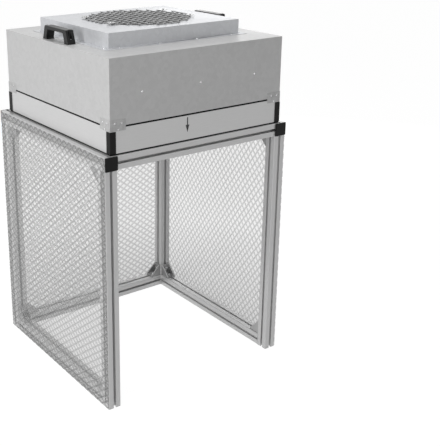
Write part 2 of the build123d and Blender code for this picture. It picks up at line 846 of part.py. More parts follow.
with BuildPart() as inlet_box:
    with BuildSketch(fan_plane.offset(housing_top)):
        Rectangle(box_width, box_depth)
    extrude(amount=box_height)
    with BuildSketch(fan_plane.offset(housing_top)):
        Rectangle(box_width + 2 * box_flange, box_depth + 2 * box_flange)
    extrude(amount=sheet_metal)
    with BuildSketch(fan_plane.offset(housing_top)):
        Rectangle(box_width - 2 * sheet_metal, box_depth - 2 * sheet_metal)
    extrude(amount=box_height - sheet_metal, mode=Mode.SUBTRACT)
    extrude(disc(fan_plane.offset(bell_top), inlet_hole), amount=sheet_metal, mode=Mode.SUBTRACT)
    with BuildSketch(Plane.XY.offset(housing_top)):
        with Locations(*box_screw_spots):
            Circle(screw_hole / 2)
    extrude(amount=sheet_metal, mode=Mode.SUBTRACT)
    with BuildSketch(Plane.XY.offset(bell_top)):
        with Locations(*guard_screw_spots):
            Circle(guard_screw_diameter / 2 + small_screw_clearance)
    extrude(amount=sheet_metal, mode=Mode.SUBTRACT)
inlet_box.part.label = "inlet_box"
export_step(inlet_box.part, "parts/inlet_box.step")

with BuildPart() as inlet_box_screws:
    head_height = housing_top + sheet_metal
    with Locations(*[(x, y, head_height) for x, y in box_screw_spots]):
        add(small_screw.part)
inlet_box_screws.part.label = "inlet_box_screws"
export_step(inlet_box_screws.part, "parts/inlet_box_screws.step")

# The bell is spun from sheet: a flat flange under the box top, then a curve down to the throat.
with BuildPart() as inlet_bell:
    hole_radius = inlet_hole / 2
    throat_radius = throat_diameter / 2
    bell_upright = Plane(origin=(0, fan_y, 0), x_dir=(1, 0, 0), z_dir=(0, -1, 0))
    with BuildSketch(bell_upright):
        with BuildLine():
            curve_centre = (hole_radius, bell_bottom)
            curve_reach = hole_radius - throat_radius
            flange_edge = hole_radius + bell_flange
            flange_under = bell_top - bell_sheet
            EllipticalCenterArc(curve_centre, curve_reach, bell_depth, start_angle=90, arc_size=90)
            Line((throat_radius, bell_bottom), (throat_radius + bell_sheet, bell_bottom))
            back_reach = curve_reach - bell_sheet
            back_depth = bell_depth - bell_sheet
            EllipticalCenterArc(curve_centre, back_reach, back_depth, start_angle=90, arc_size=90)
            Polyline(
                (hole_radius, flange_under),
                (flange_edge, flange_under),
                (flange_edge, bell_top),
                (hole_radius, bell_top),
            )
        make_face()
    revolve(axis=fan_axis)
inlet_bell.part.label = "inlet_bell"
export_step(inlet_bell.part, "parts/inlet_bell.step")

# ------------------------------------------------------------------ wire guard over the inlet
guard_offsets = [(k - (guard_wire_count - 1) / 2) * guard_pitch for k in range(guard_wire_count)]


def wire_half_length(offset):
    """A wire ends just past its last crossing inside the round reach of the guard."""
    reach = sqrt(guard_reach**2 - offset**2)
    return max(crossing for crossing in guard_offsets if crossing <= reach) + guard_wire_end


with BuildPart() as inlet_guard:
    upper_layer = box_top + guard_wire - guard_weld
    with BuildSketch(fan_plane.offset(box_top)) as wires_across:
        for offset_y in guard_offsets:
            with Locations((0, offset_y)):
                Rectangle(2 * wire_half_length(offset_y), guard_wire)
    extrude(wires_across.sketch, amount=guard_wire)
    with BuildSketch(fan_plane.offset(upper_layer)) as wires_along:
        for offset_x in guard_offsets:
            with Locations((offset_x, 0)):
                Rectangle(guard_wire, 2 * wire_half_length(offset_x))
    extrude(wires_along.sketch, amount=guard_wire)
inlet_guard.part.label = "inlet_guard"
export_step(inlet_guard.part, "parts/inlet_guard.step")

guard_top = upper_layer + guard_wire
with BuildPart() as guard_screws:
    washer_bore = guard_screw_diameter + 2 * small_screw_clearance
    washer_top = guard_top + washer_thickness
    shank_length = washer_top - box_top + guard_screw_grip
    for x, y in guard_screw_spots:
        with BuildSketch(Plane(origin=(x, y, guard_top))) as washer:
            Circle(washer_diameter / 2)
            Circle(washer_bore / 2, mode=Mode.SUBTRACT)
        extrude(washer.sketch, amount=washer_thickness)
        head_seat = Plane(origin=(x, y, washer_top))
        extrude(disc(head_seat, guard_screw_head), amount=guard_screw_head_height)
        extrude(disc(head_seat, guard_screw_diameter), amount=-shank_length)
guard_screws.part.label = "guard_screws"
export_step(guard_screws.part, "parts/guard_screws.step")

# ------------------------------------------------------------------ fan wheel and motor
wheel_radius = wheel_diameter / 2
shroud_rim_z = wheel_bottom + wheel_outlet_height
shroud_slope = (wheel_top - shroud_rim_z) / (wheel_radius - wheel_eye)
blade_outer_radius = wheel_radius - blade_edge_margin
blade_shroud_radius = wheel_eye + blade_eye_setback
rotor_screw_hole = small_screw_diameter + 2 * small_screw_clearance


def shroud_underside(radius):
    """Height of the shroud's lower face at a radius."""
    return wheel_top - shroud_slope * (radius - wheel_eye) - shroud_thickness


def point_at(radius, angle):
    """Plan point at a radius and an angle in degrees."""
    return (radius * cos(radians(angle)), radius * sin(radians(angle)))


with BuildPart() as blades:
    inner_span = degrees(blade_thickness / blade_inner_radius)
    outer_span = degrees(blade_thickness / blade_outer_radius)
    with BuildSketch(fan_plane.offset(wheel_floor)):
        with BuildLine():
            front_start = point_at(blade_inner_radius, 0)
            front_end = point_at(blade_outer_radius, -blade_sweep)
            back_start = point_at(blade_inner_radius, inner_span)
            back_end = point_at(blade_outer_radius, -blade_sweep + outer_span)
            RadiusArc(front_start, front_end, blade_bend)
            Line(front_end, back_end)
            RadiusArc(back_end, back_start, -blade_bend)
            Line(back_start, front_start)
        make_face()
    extrude(amount=wheel_height)
    blade_envelope = revolved_section(
        [
            (blade_inner_radius / 2, wheel_floor),
            (wheel_radius, wheel_floor),
            (wheel_radius, shroud_underside(wheel_radius)),
            (blade_shroud_radius, shroud_underside(blade_shroud_radius)),
            (blade_inner_radius, wheel_floor + blade_inner_height),
            (blade_inner_radius / 2, wheel_floor + blade_inner_height),
        ]
    )
    revolve(blade_envelope, axis=fan_axis, mode=Mode.INTERSECT)

with BuildPart() as fan_wheel:
    with BuildSketch(fan_plane.offset(wheel_bottom)):
        Circle(wheel_radius)
        Circle(rotor_inner, mode=Mode.SUBTRACT)
        with PolarLocations(rotor_screw_radius, rotor_screw_count):
            Circle(rotor_screw_hole / 2, mode=Mode.SUBTRACT)
    extrude(amount=wheel_sheet)
    shroud = revolved_section(
        [
            (wheel_eye, wheel_top),
            (wheel_eye, wheel_top - shroud_thickness),
            (wheel_radius, shroud_rim_z - shroud_thickness),
            (wheel_radius, shroud_rim_z),
        ]
    )
    revolve(shroud, axis=fan_axis)
    for k in range(blade_count):
        turn = 360 / blade_count * k
        add(blades.part.rotate(fan_axis, turn))
fan_wheel.part.label = "fan_wheel"
export_step(fan_wheel.part, "parts/fan_wheel.step")

with BuildPart() as motor_rotor:
    cup_radius = rotor_diameter / 2
    flange_radius = cup_radius + rotor_flange_width
    flange_top = rotor_bottom + rotor_flange_thickness
    cup_ceiling = rotor_top - rotor_wall
    rotor_outline = revolved_section(
        [
            (0, rotor_top - rotor_dish_depth),
            (rotor_dish_radius, rotor_top - rotor_dish_depth),
            (rotor_dish_radius, rotor_top),
            (cup_radius, rotor_top),
            (cup_radius, flange_top),
            (flange_radius, flange_top),
            (flange_radius, rotor_bottom),
            (rotor_inner, rotor_bottom),
            (rotor_inner, cup_ceiling),
            (shaft_diameter / 2, cup_ceiling),
            (shaft_diameter / 2, shaft_bottom),
            (0, shaft_bottom),
        ]
    )
    revolve(rotor_outline, axis=fan_axis)
    with BuildSketch(fan_plane.offset(rotor_bottom)) as flange_holes:
        with PolarLocations(rotor_screw_radius, rotor_screw_count):
            Circle(rotor_screw_hole / 2)
    extrude(flange_holes.sketch, amount=rotor_flange_thickness, mode=Mode.SUBTRACT)
motor_rotor.part.label = "motor_rotor"
export_step(motor_rotor.part, "parts/motor_rotor.step")

with BuildPart() as rotor_screws:
    with Locations(fan_plane.offset(flange_top)):
        with PolarLocations(rotor_screw_radius, rotor_screw_count):
            add(small_screw.part)
rotor_screws.part.label = "rotor_screws"
export_step(rotor_screws.part, "parts/rotor_screws.step")

with BuildPart() as motor_bearings:
    for bearing_z in (stator_core_bottom, stator_core_top - bearing_width):
        with BuildSketch(fan_plane.offset(bearing_z)) as bearing_ring:
            Circle(bearing_diameter / 2)
            Circle(shaft_diameter / 2 + shaft_clearance, mode=Mode.SUBTRACT)
        extrude(bearing_ring.sketch, amount=bearing_width)
motor_bearings.part.label = "motor_bearings"
export_step(motor_bearings.part, "parts/motor_bearings.step")

lead_direction = degrees(atan2(motor_lead_turn_y - fan_y, motor_lead_x))
lead_block_radius = stator_flange / 2 - lead_block_overlap + lead_block
with BuildPart() as motor_stator:
    stator_radius = rotor_inner - stator_gap
    stator_flange_top = deck_top + stator_flange_thickness
    stator_outline = revolved_section(
        [
            (bearing_diameter / 2 + bearing_seat_clearance, deck_top),
            (stator_flange / 2, deck_top),
            (stator_flange / 2, stator_flange_top),
            (stator_neck / 2, stator_flange_top),
            (stator_neck / 2, stator_core_bottom),
            (stator_radius, stator_core_bottom),
            (stator_radius, stator_core_top),
            (bearing_diameter / 2 + bearing_seat_clearance, stator_core_top),
        ]
    )
    revolve(stator_outline, axis=fan_axis)
    with Locations(Location((0, fan_y, deck_top), (0, 0, lead_direction))):
        with Locations((lead_block_radius, 0, 0)):
            Box(lead_block, lead_block, lead_block, align=(Align.MAX, Align.CENTER, Align.MIN))
    with BuildSketch(fan_plane.offset(deck_top)) as motor_holes:
        with PolarLocations(motor_screw_circle / 2, motor_screw_count):
            Circle(motor_screw_diameter / 2 + motor_screw_clearance)
    extrude(motor_holes.sketch, amount=stator_flange_thickness, mode=Mode.SUBTRACT)
motor_stator.part.label = "motor_stator"
export_step(motor_stator.part, "parts/motor_stator.step")

with BuildPart() as motor_screws:
    with BuildSketch(fan_plane.offset(stator_flange_top)) as motor_heads:
        with PolarLocations(motor_screw_circle / 2, motor_screw_count):
            Circle(motor_screw_head / 2)
    extrude(motor_heads.sketch, amount=motor_screw_head_height)
    with BuildSketch(fan_plane.offset(stator_flange_top)) as motor_shanks:
        with PolarLocations(motor_screw_circle / 2, motor_screw_count):
            Circle(motor_screw_diameter / 2)
    extrude(motor_shanks.sketch, amount=-motor_screw_length)
motor_screws.part.label = "motor_screws"
export_step(motor_screws.part, "parts/motor_screws.step")

# ------------------------------------------------------------------ deck, diffuser, lining
with BuildPart() as motor_deck:
    with BuildSketch(unit_plane.offset(deck_bottom)):
        Rectangle(deck_width, inside_depth)
    extrude(amount=deck_thickness + deck_flange)
    with BuildSketch(unit_plane.offset(deck_top)):
        Rectangle(deck_width, inside_depth - 2 * deck_thickness)
    extrude(amount=deck_flange, mode=Mode.SUBTRACT)
    extrude(motor_holes.sketch, amount=-deck_thickness, mode=Mode.SUBTRACT)
    stud_hole = capacitor_stud_diameter + 2 * small_screw_clearance
    stud_place = Plane(origin=(capacitor_x, capacitor_y, deck_top))
    extrude(disc(stud_place, stud_hole), amount=-deck_thickness, mode=Mode.SUBTRACT)
    for spot in rivet_spots:
        rivet_hole = disc(spot.offset(-sheet_metal), rivet_diameter + 2 * small_screw_clearance)
        extrude(rivet_hole, amount=-deck_thickness, mode=Mode.SUBTRACT)
motor_deck.part.label = "motor_deck"
export_step(motor_deck.part, "parts/motor_deck.step")

with BuildPart() as deck_rivets:
    for spot in rivet_spots:
        extrude(disc(spot, rivet_head), amount=rivet_head_height)
        extrude(disc(spot, rivet_diameter), amount=-(sheet_metal + deck_thickness + rivet_tail))
deck_rivets.part.label = "deck_rivets"
export_step(deck_rivets.part, "parts/deck_rivets.step")

diffuser_top = deck_bottom - diffuser_drop
with BuildPart() as diffuser_plate:
    with BuildSketch(fan_plane.offset(diffuser_top)):
        Rectangle(diffuser_size, diffuser_size)
        with GridLocations(diffuser_hole_pitch, diffuser_hole_pitch, diffuser_holes, diffuser_holes):
            Circle(diffuser_hole / 2, mode=Mode.SUBTRACT)
    extrude(amount=-diffuser_thickness)
diffuser_plate.part.label = "diffuser_plate"
export_step(diffuser_plate.part, "parts/diffuser_plate.step")

with BuildPart() as diffuser_spacers:
    with BuildSketch(fan_plane.offset(diffuser_top)):
        with GridLocations(spacer_pitch, spacer_pitch, 2, 2):
            Circle(spacer_diameter / 2)
    extrude(amount=diffuser_drop)
diffuser_spacers.part.label = "diffuser_spacers"
export_step(diffuser_spacers.part, "parts/diffuser_spacers.step")

with BuildPart() as foam_lining:
    foam_height = controls_underside - foam_gap - deck_bottom
    foam_length = inside_depth - 2 * foam_thickness
    foam_x = inside_width / 2 - foam_gap - foam_thickness / 2
    with BuildSketch(unit_plane.offset(deck_bottom)):
        with Locations((-foam_x, 0), (foam_x, 0)):
            Rectangle(foam_thickness, foam_length)
    extrude(amount=foam_height)
foam_lining.part.label = "foam_lining"
export_step(foam_lining.part, "parts/foam_lining.step")

# ------------------------------------------------------------------ handles
handle_slant = (handle_length - handle_top_length) / 2 / handle_height
handle_window_top = handle_height - handle_grip
screw_seat_z = housing_top + handle_seat
for side, x in {"left": -strip_x, "right": strip_x}.items():
    with BuildPart() as handle:
        side_view = Plane(origin=(x, fan_y, housing_top), x_dir=(0, 1, 0), z_dir=(1, 0, 0))
        with BuildSketch(side_view):
            Polygon(
                (-handle_length / 2, 0),
                (handle_length / 2, 0),
                (handle_top_length / 2, handle_height),
                (-handle_top_length / 2, handle_height),
                align=None,
            )
        extrude(amount=handle_width / 2, both=True)
        fillet(handle.edges().filter_by(Axis.Y).group_by(Axis.Z)[-1], handle_edge_radius)
        with BuildSketch(side_view) as window:
            window_foot = handle_length / 2 - handle_leg
            window_head = window_foot - handle_slant * handle_window_top
            Polygon(
                (-window_foot, 0),
                (window_foot, 0),
                (window_head, handle_window_top),
                (-window_head, handle_window_top),
                align=None,
            )
            fillet(window.vertices().group_by(Axis.Z)[-1], handle_window_radius)
        extrude(window.sketch, amount=handle_width, both=True, mode=Mode.SUBTRACT)
        for y_sign in (-1, 1):
            hole_y = fan_y + y_sign * handle_hole_y
            seat = Plane(origin=(x, hole_y, screw_seat_z))
            extrude(disc(seat, handle_bore), amount=handle_height, mode=Mode.SUBTRACT)
            shank_hole = disc(seat, handle_screw_diameter + 2 * handle_hole_clearance)
            extrude(shank_hole, amount=-handle_seat, mode=Mode.SUBTRACT)
    handle.part.label = f"handle_{side}"
    export_step(handle.part, f"parts/handle_{side}.step")

with BuildPart() as handle_screws:
    below_plate = handle_nut_height + handle_screw_tip
    screw_reach = handle_seat + sheet_metal + below_plate
    for x, y in handle_screw_spots:
        seat = Plane(origin=(x, y, screw_seat_z))
        extrude(disc(seat, handle_screw_head), amount=handle_screw_head_height)
        extrude(disc(seat, handle_screw_diameter), amount=-screw_reach)
        with BuildSketch(seat.offset(handle_screw_head_height)) as hex_socket:
            RegularPolygon(handle_screw_socket / 2, 6, major_radius=False)
        extrude(hex_socket.sketch, amount=-handle_screw_socket_depth, mode=Mode.SUBTRACT)
handle_screws.part.label = "handle_screws"
export_step(handle_screws.part, "parts/handle_screws.step")


def hex_nut(plane, across_flats, bore, height):
    """Plain hexagon nut that starts on a plane and follows its direction."""
    with BuildSketch(plane) as section:
        RegularPolygon(across_flats / 2, 6, major_radius=False)
        Circle(bore / 2, mode=Mode.SUBTRACT)
    extrude(section.sketch, amount=height)


with BuildPart() as hex_nuts:
    for x, y in handle_screw_spots:
        under_plate = Plane(origin=(x, y, controls_underside), z_dir=(0, 0, -1))
        nut_bore = handle_screw_diameter + 2 * nut_thread_clearance
        hex_nut(under_plate, handle_nut_width, nut_bore, handle_nut_height)
    on_plate = Plane(origin=(control_x, control_y, housing_top))
    bushing_bore = bushing_diameter + 2 * nut_thread_clearance
    hex_nut(on_plate, control_nut_width, bushing_bore, control_nut_height)
    under_deck = Plane(origin=(capacitor_x, capacitor_y, deck_bottom), z_dir=(0, 0, -1))
    stud_bore = capacitor_stud_diameter + 2 * nut_thread_clearance
    hex_nut(under_deck, capacitor_nut_width, stud_bore, capacitor_nut_height)
hex_nuts.part.label = "hex_nuts"
export_step(hex_nuts.part, "parts/hex_nuts.step")

# ------------------------------------------------------------------ speed control
control_plane = Plane(origin=(control_x, control_y, 0))
with BuildPart() as speed_control:
    with BuildSketch(control_plane.offset(controls_underside)):
        Rectangle(control_length, control_width)
    extrude(amount=-control_height)
    bushing_height = sheet_metal + bushing_rise
    extrude(disc(control_plane.offset(controls_underside), bushing_diameter), amount=bushing_height)
    bushing_top = control_plane.offset(housing_top + bushing_rise)
    spindle_bore = disc(bushing_top, spindle_diameter + 2 * spindle_clearance)
    extrude(spindle_bore, amount=-(bushing_height + spindle_seat), mode=Mode.SUBTRACT)
speed_control.part.label = "speed_control"
export_step(speed_control.part, "parts/speed_control.step")

spindle_bottom = controls_underside - spindle_seat + spindle_clearance
with BuildPart() as knob_spindle:
    spindle_length = housing_top + spindle_rise - spindle_bottom
    extrude(disc(control_plane.offset(spindle_bottom), spindle_diameter), amount=spindle_length)
knob_spindle.part.label = "knob_spindle"
export_step(knob_spindle.part, "parts/knob_spindle.step")

knob_bottom = housing_top + knob_lift
with BuildPart() as speed_knob:
    skirt_plane = control_plane.offset(knob_bottom)
    grip_plane = skirt_plane.offset(knob_skirt_height)
    extrude(disc(skirt_plane, knob_diameter), amount=knob_skirt_height)
    with BuildSketch(grip_plane) as grip_section:
        Circle(knob_grip_diameter / 2)
        with PolarLocations(knob_grip_diameter / 2, knob_flutes):
            Circle(knob_flute_radius, mode=Mode.SUBTRACT)
    extrude(grip_section.sketch, amount=knob_height - knob_skirt_height)
    pointer_start = knob_cap_diameter / 2 + knob_cap_clearance
    with BuildSketch(grip_plane) as pointer:
        with Locations((0, -pointer_start)):
            Rectangle(
                knob_pointer_width,
                knob_diameter / 2 - pointer_start - knob_pointer_end_gap,
                align=(Align.CENTER, Align.MAX),
            )
    extrude(pointer.sketch, amount=knob_height - knob_skirt_height)
    cap_seat = disc(skirt_plane.offset(knob_height), knob_cap_diameter + 2 * knob_cap_clearance)
    extrude(cap_seat, amount=-knob_cap_thickness, mode=Mode.SUBTRACT)
    nut_room = control_nut_width / cos(radians(30)) + 2 * knob_lift
    extrude(disc(skirt_plane, nut_room), amount=control_nut_height, mode=Mode.SUBTRACT)
    extrude(disc(skirt_plane, bushing_diameter + 2 * knob_lift), amount=bushing_rise, mode=Mode.SUBTRACT)
    knob_bore = disc(skirt_plane, spindle_diameter + 2 * knob_bore_clearance)
    extrude(knob_bore, amount=spindle_rise, mode=Mode.SUBTRACT)
speed_knob.part.label = "speed_knob"
export_step(speed_knob.part, "parts/speed_knob.step")

with BuildPart() as knob_cap:
    cap_top = skirt_plane.offset(knob_height + knob_cap_proud)
    extrude(disc(cap_top, knob_cap_diameter), amount=-(knob_cap_thickness + knob_cap_proud))
knob_cap.part.label = "knob_cap"
export_step(knob_cap.part, "parts/knob_cap.step")

# ------------------------------------------------------------------ power inlet with its fuse drawer
inlet_top = housing_top + socket_flange_height
inlet_plane = Plane(origin=(inlet_socket_x, control_y, inlet_top))
recess_y = -socket_recess_shift
with BuildPart() as power_inlet:
    with BuildSketch(inlet_plane):
        RectangleRounded(socket_flange_x, socket_flange_y, socket_corner)
    extrude(amount=-socket_flange_height)
    with BuildSketch(inlet_plane):
        Rectangle(socket_body_x, socket_body_y)
    extrude(amount=-(socket_flange_height + socket_body_depth))
    with BuildSketch(inlet_plane):
        with Locations((0, recess_y)):
            Rectangle(socket_recess_x, socket_recess_y)
    extrude(amount=-socket_recess_depth, mode=Mode.SUBTRACT)
    with BuildSketch(inlet_plane.offset(-socket_recess_depth)):
        for pin_x, pin_y in ((-socket_pin_pitch, 0), (0, -socket_earth_shift), (socket_pin_pitch, 0)):
            with Locations((pin_x, recess_y + pin_y)):
                Rectangle(socket_pin_x, socket_pin_y)
    extrude(amount=socket_pin_length)
    with BuildSketch(inlet_plane):
        with Locations((0, fuse_shift)):
            Rectangle(fuse_x + 2 * socket_fit, fuse_y + 2 * socket_fit)
    extrude(amount=-fuse_depth, mode=Mode.SUBTRACT)
power_inlet.part.label = "power_inlet"
export_step(power_inlet.part, "parts/power_inlet.step")

with BuildPart() as fuse_drawer:
    with BuildSketch(inlet_plane.offset(-fuse_depth)):
        with Locations((0, fuse_shift)):
            Rectangle(fuse_x, fuse_y)
    extrude(amount=fuse_depth + fuse_rise)
    with BuildSketch(inlet_plane.offset(fuse_rise)):
        with Locations((0, fuse_shift)):
            Rectangle(fuse_slot_length, fuse_slot_width)
    extrude(amount=-fuse_rise, mode=Mode.SUBTRACT)
fuse_drawer.part.label = "fuse_drawer"
export_step(fuse_drawer.part, "parts/fuse_drawer.step")

# ------------------------------------------------------------------ capacitor and internal leads
with BuildPart() as run_capacitor:
    extrude(disc(stud_place, capacitor_diameter), amount=capacitor_height)
    fillet(run_capacitor.edges().sort_by(Axis.Z)[-1], capacitor_edge_radius)
    extrude(disc(stud_place, capacitor_stud_diameter), amount=-capacitor_stud_length)
run_capacitor.part.label = "run_capacitor"
export_step(run_capacitor.part, "parts/run_capacitor.step")


def lead_path(points, radii):
    """A lead swept along straight runs joined by tangent arcs."""
    with BuildLine() as route:
        path = FilletPolyline(*points, radius=radii)
    with BuildSketch(Plane(origin=path @ 0, z_dir=path % 0)) as section:
        Circle(lead_diameter / 2)
    sweep(section.sketch, path=route.wire())


control_bottom = controls_underside - control_height
control_mid = controls_underside - control_height / 2
on_deck = deck_top + lead_diameter / 2
lead_end_x, lead_end_y = point_at(lead_block_radius, lead_direction)
motor_lead_points = [
    (control_x - control_length / 2, control_y, control_mid),
    (motor_lead_x, control_y, control_mid),
    (motor_lead_x, control_y, on_deck),
    (motor_lead_x, motor_lead_turn_y, on_deck),
    (lead_end_x, fan_y + lead_end_y, on_deck),
]
with BuildPart() as motor_lead:
    lead_path(motor_lead_points, motor_lead_bends)
motor_lead.part.label = "motor_lead"
export_step(motor_lead.part, "parts/motor_lead.step")

inlet_bottom = housing_top - socket_body_depth
lead_low = inlet_bottom - mains_lead_drop
mains_lead_points = [
    (inlet_socket_x, control_y, inlet_bottom),
    (inlet_socket_x, control_y, lead_low),
    (control_x, control_y, lead_low),
    (control_x, control_y, control_bottom),
]
with BuildPart() as mains_lead:
    lead_path(mains_lead_points, mains_lead_bend)
mains_lead.part.label = "mains_lead"
export_step(mains_lead.part, "parts/mains_lead.step")
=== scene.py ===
import json
import math

import bmesh
import bpy
from mathutils import Matrix, Vector


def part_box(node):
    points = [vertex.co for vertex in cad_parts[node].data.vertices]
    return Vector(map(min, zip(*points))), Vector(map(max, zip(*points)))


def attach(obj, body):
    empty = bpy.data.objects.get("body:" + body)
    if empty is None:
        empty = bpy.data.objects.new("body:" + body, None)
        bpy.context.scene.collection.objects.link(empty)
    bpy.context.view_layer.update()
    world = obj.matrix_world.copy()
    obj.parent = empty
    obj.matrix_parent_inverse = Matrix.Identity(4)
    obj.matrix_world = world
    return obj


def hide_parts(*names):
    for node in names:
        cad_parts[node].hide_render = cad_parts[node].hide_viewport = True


# Laminar flow hood, dressed in its finishes. Metres, +Z up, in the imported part's own frame.

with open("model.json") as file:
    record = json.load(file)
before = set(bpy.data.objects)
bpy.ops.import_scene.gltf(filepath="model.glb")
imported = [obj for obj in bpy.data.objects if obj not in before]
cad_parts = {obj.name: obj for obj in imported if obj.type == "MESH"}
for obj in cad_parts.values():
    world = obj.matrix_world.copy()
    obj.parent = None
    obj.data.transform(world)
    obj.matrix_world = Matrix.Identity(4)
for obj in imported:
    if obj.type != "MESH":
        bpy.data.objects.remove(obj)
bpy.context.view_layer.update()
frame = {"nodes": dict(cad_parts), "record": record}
nodes = frame["nodes"]

# ------------------------ sizes taken from the frame
filter_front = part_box("filter_frame")[0][1]
media_low, media_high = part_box("filter_media")
grille_low, grille_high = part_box("filter_face_guard")
guard_low, guard_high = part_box("inlet_guard")
frame_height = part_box("top_rail_left")[1][2]

# ------------------------ angles and ratios
FLAT_ANGLE = math.radians(0.2)
SMOOTH_ANGLE = math.radians(32.0)
BEVEL_ANGLE = math.radians(50.0)
CORNER_SIGNS = ((-1, -1), (1, -1), (1, 1), (-1, 1))
THREAD_SPREAD = 0.34
RECESS_TAPER = 0.55

# ------------------------ finish sizes, in metres
THREAD_CELL_LONG = 0.0294
THREAD_CELL_SHORT = 0.0222
WELD = 0.00001
EDGE_ROUND = 0.0006
SLOT_EDGE_ROUND = 0.0003
SMALL_EDGE_ROUND = 0.0003
SHEET_EDGE_ROUND = 0.0004
CASTING_EDGE_ROUND = 0.0010
WIRE_RADIUS = 0.0015
WIRE_SIDES = 10
GUARD_PITCH = 0.024
GUARD_WIRES = 14
GUARD_REACH = 0.162
GUARD_WIRE_END = 0.006
GUARD_LAYER_RISE = 0.0025
GRILLE_PITCH = 0.0125
GRILLE_WIRE_RADIUS = 0.0006
GRILLE_BORDER = 0.022
GRILLE_FAR = 10.0
PLEAT_PITCH = 0.0042
PLEAT_PAPER = 0.0006
BEAD_PITCH = 0.0254
BEAD_RADIUS = 0.0007
SCREW_SIDES = 16
SHEET_SCREW_HEAD = 0.00325
SHEET_SCREW_RISE = 0.0020
SHEET_SCREW_SHANK = 0.0016
SHEET_SCREW_LENGTH = 0.0080
RECESS_LENGTH = 0.0034
RECESS_WIDTH = 0.0009
RIVET_HEAD = 0.00325
RIVET_RISE = 0.0014
RIVET_SHANK = 0.0020
RIVET_LENGTH = 0.0062
GUARD_SCREW_HEAD = 0.0040
GUARD_SCREW_RISE = 0.0025
GUARD_SCREW_SHANK = 0.0020
GUARD_SCREW_LENGTH = 0.0115
GUARD_WASHER = 0.0130
WASHER_THICKNESS = 0.0015
WASHER_SIDES = 48
RIVET_SEED = 0
GUARD_SEED = 7
INLET_RECESS_SHIFT = 0.0070
INLET_RECESS_DEPTH = 0.0160
INLET_PIN_TOP = 0.0025
INLET_PIN_REACH_X = 0.0085
INLET_PIN_REACH_Y = 0.0065
ARROW_X = -0.0457
ARROW_TOP = 0.8500
ARROW_BOTTOM = 0.8060
ARROW_HEAD = 0.0130
ARROW_STEM = 0.0036
PRINT_THICKNESS = 0.0001

# ------------------------ strengths of the finishes
ALUMINIUM_METALLIC = 0.38
CASTING_METALLIC = 0.7
COARSE_SHARE = 0.6
FINE_SHARE = 0.4
SHEET_FILM_GREY = 0.92
SHEET_THREAD_GREY = 0.30
SHEET_FILM_COVER = 0.17
SHEET_THREAD_COVER = 0.49
SHEET_BACK_COVER = 0.10
SHEET_SHADOW_SHARE = 0.2
FLOOR_WHITE_SHARE = 0.86
FLOOR_SHADE_SHARE = 0.36
FLOOR_SHADE_NEAR = 0.45
FLOOR_SHADE_FAR = 1.1
FLOOR_GLOW = 1.12
WORLD_LIGHT = 0.14


# ------------------------ node tree helpers
def link(tree, output, socket):
    tree.links.new(output, socket)


def weighted_sum(tree, first, first_share, second, second_share):
    """Two value sockets, each times its share, added up."""
    first_part = reckon(tree, "MULTIPLY", first, first_share)
    second_part = reckon(tree, "MULTIPLY", second, second_share)
    return reckon(tree, "ADD", first_part, second_part)


def new_group(name, inputs, outputs):
    """A shader node group with named inputs (name, kind, default) and outputs (name, kind)."""
    group = bpy.data.node_groups.new(name, "ShaderNodeTree")
    for label, kind, default in inputs:
        socket = group.interface.new_socket(label, in_out="INPUT", socket_type=f"NodeSocket{kind}")
        socket.default_value = default
    for label, kind in outputs:
        group.interface.new_socket(label, in_out="OUTPUT", socket_type=f"NodeSocket{kind}")
    entry = group.nodes.new("NodeGroupInput")
    exit_node = group.nodes.new("NodeGroupOutput")
    return group, entry, exit_node


def reckon(tree, operation, first, second=None):
    """A Math node of either kind of tree, fed by sockets or plain numbers; gives its output."""
    node = tree.nodes.new("ShaderNodeMath")
    node.operation = operation
    for socket, value in zip(node.inputs, (first, second)):
        if value is None:
            continue
        if isinstance(value, (int, float)):
            socket.default_value = value
        else:
            link(tree, value, socket)
    return node.outputs[0]


def remap(tree, value, low, high, to_low, to_high):
    """Map Range from one span to another, held at its ends."""
    node = tree.nodes.new("ShaderNodeMapRange")
    node.inputs["From Min"].default_value = low
    node.inputs["From Max"].default_value = high
    node.inputs["To Min"].default_value = to_low
    node.inputs["To Max"].default_value = to_high
    link(tree, value, node.inputs["Value"])
    return node.outputs["Result"]


def blended(tree, factor, low, high):
    """A value socket where the factor is 0, and a plain value where it is 1."""
    node = tree.nodes.new("ShaderNodeMix")
    node.inputs["B"].default_value = high
    link(tree, factor, node.inputs["Factor"])
    link(tree, low, node.inputs["A"])
    return node.outputs["Result"]


def noise(tree, vector, scale, detail=3.0, roughness=0.55):
    """Noise value at a scale, on a vector socket."""
    node = tree.nodes.new("ShaderNodeTexNoise")
    node.inputs["Scale"].default_value = scale
    node.inputs["Detail"].default_value = detail
    node.inputs["Roughness"].default_value = roughness
    link(tree, vector, node.inputs["Vector"])
    return node.outputs["Fac"]


def object_place(tree):
    """Object coordinates of the shaded point, in metres."""
    return tree.nodes.new("ShaderNodeTexCoord").outputs["Object"]


# ------------------------ shader groups
def drawn_metal_group():
    """Fine die lines along one direction: the stretch vector is small along the lines."""
    group, entry, result = new_group(
        "drawn_metal_lines",
        [("Stretch", "Vector", (1.0, 1.0, 1.0))],
        [("Tone", "Float"), ("Height", "Float")],
    )
    scaled = group.nodes.new("ShaderNodeVectorMath")
    scaled.operation = "MULTIPLY"
    link(group, object_place(group), scaled.inputs[0])
    link(group, entry.outputs["Stretch"], scaled.inputs[1])
    coarse = noise(group, scaled.outputs[0], 260.0, 2.0)
    fine = noise(group, scaled.outputs[0], 1400.0, 1.0)
    both = weighted_sum(group, coarse, COARSE_SHARE, fine, FINE_SHARE)
    link(group, both, result.inputs["Tone"])
    link(group, fine, result.inputs["Height"])
    return group


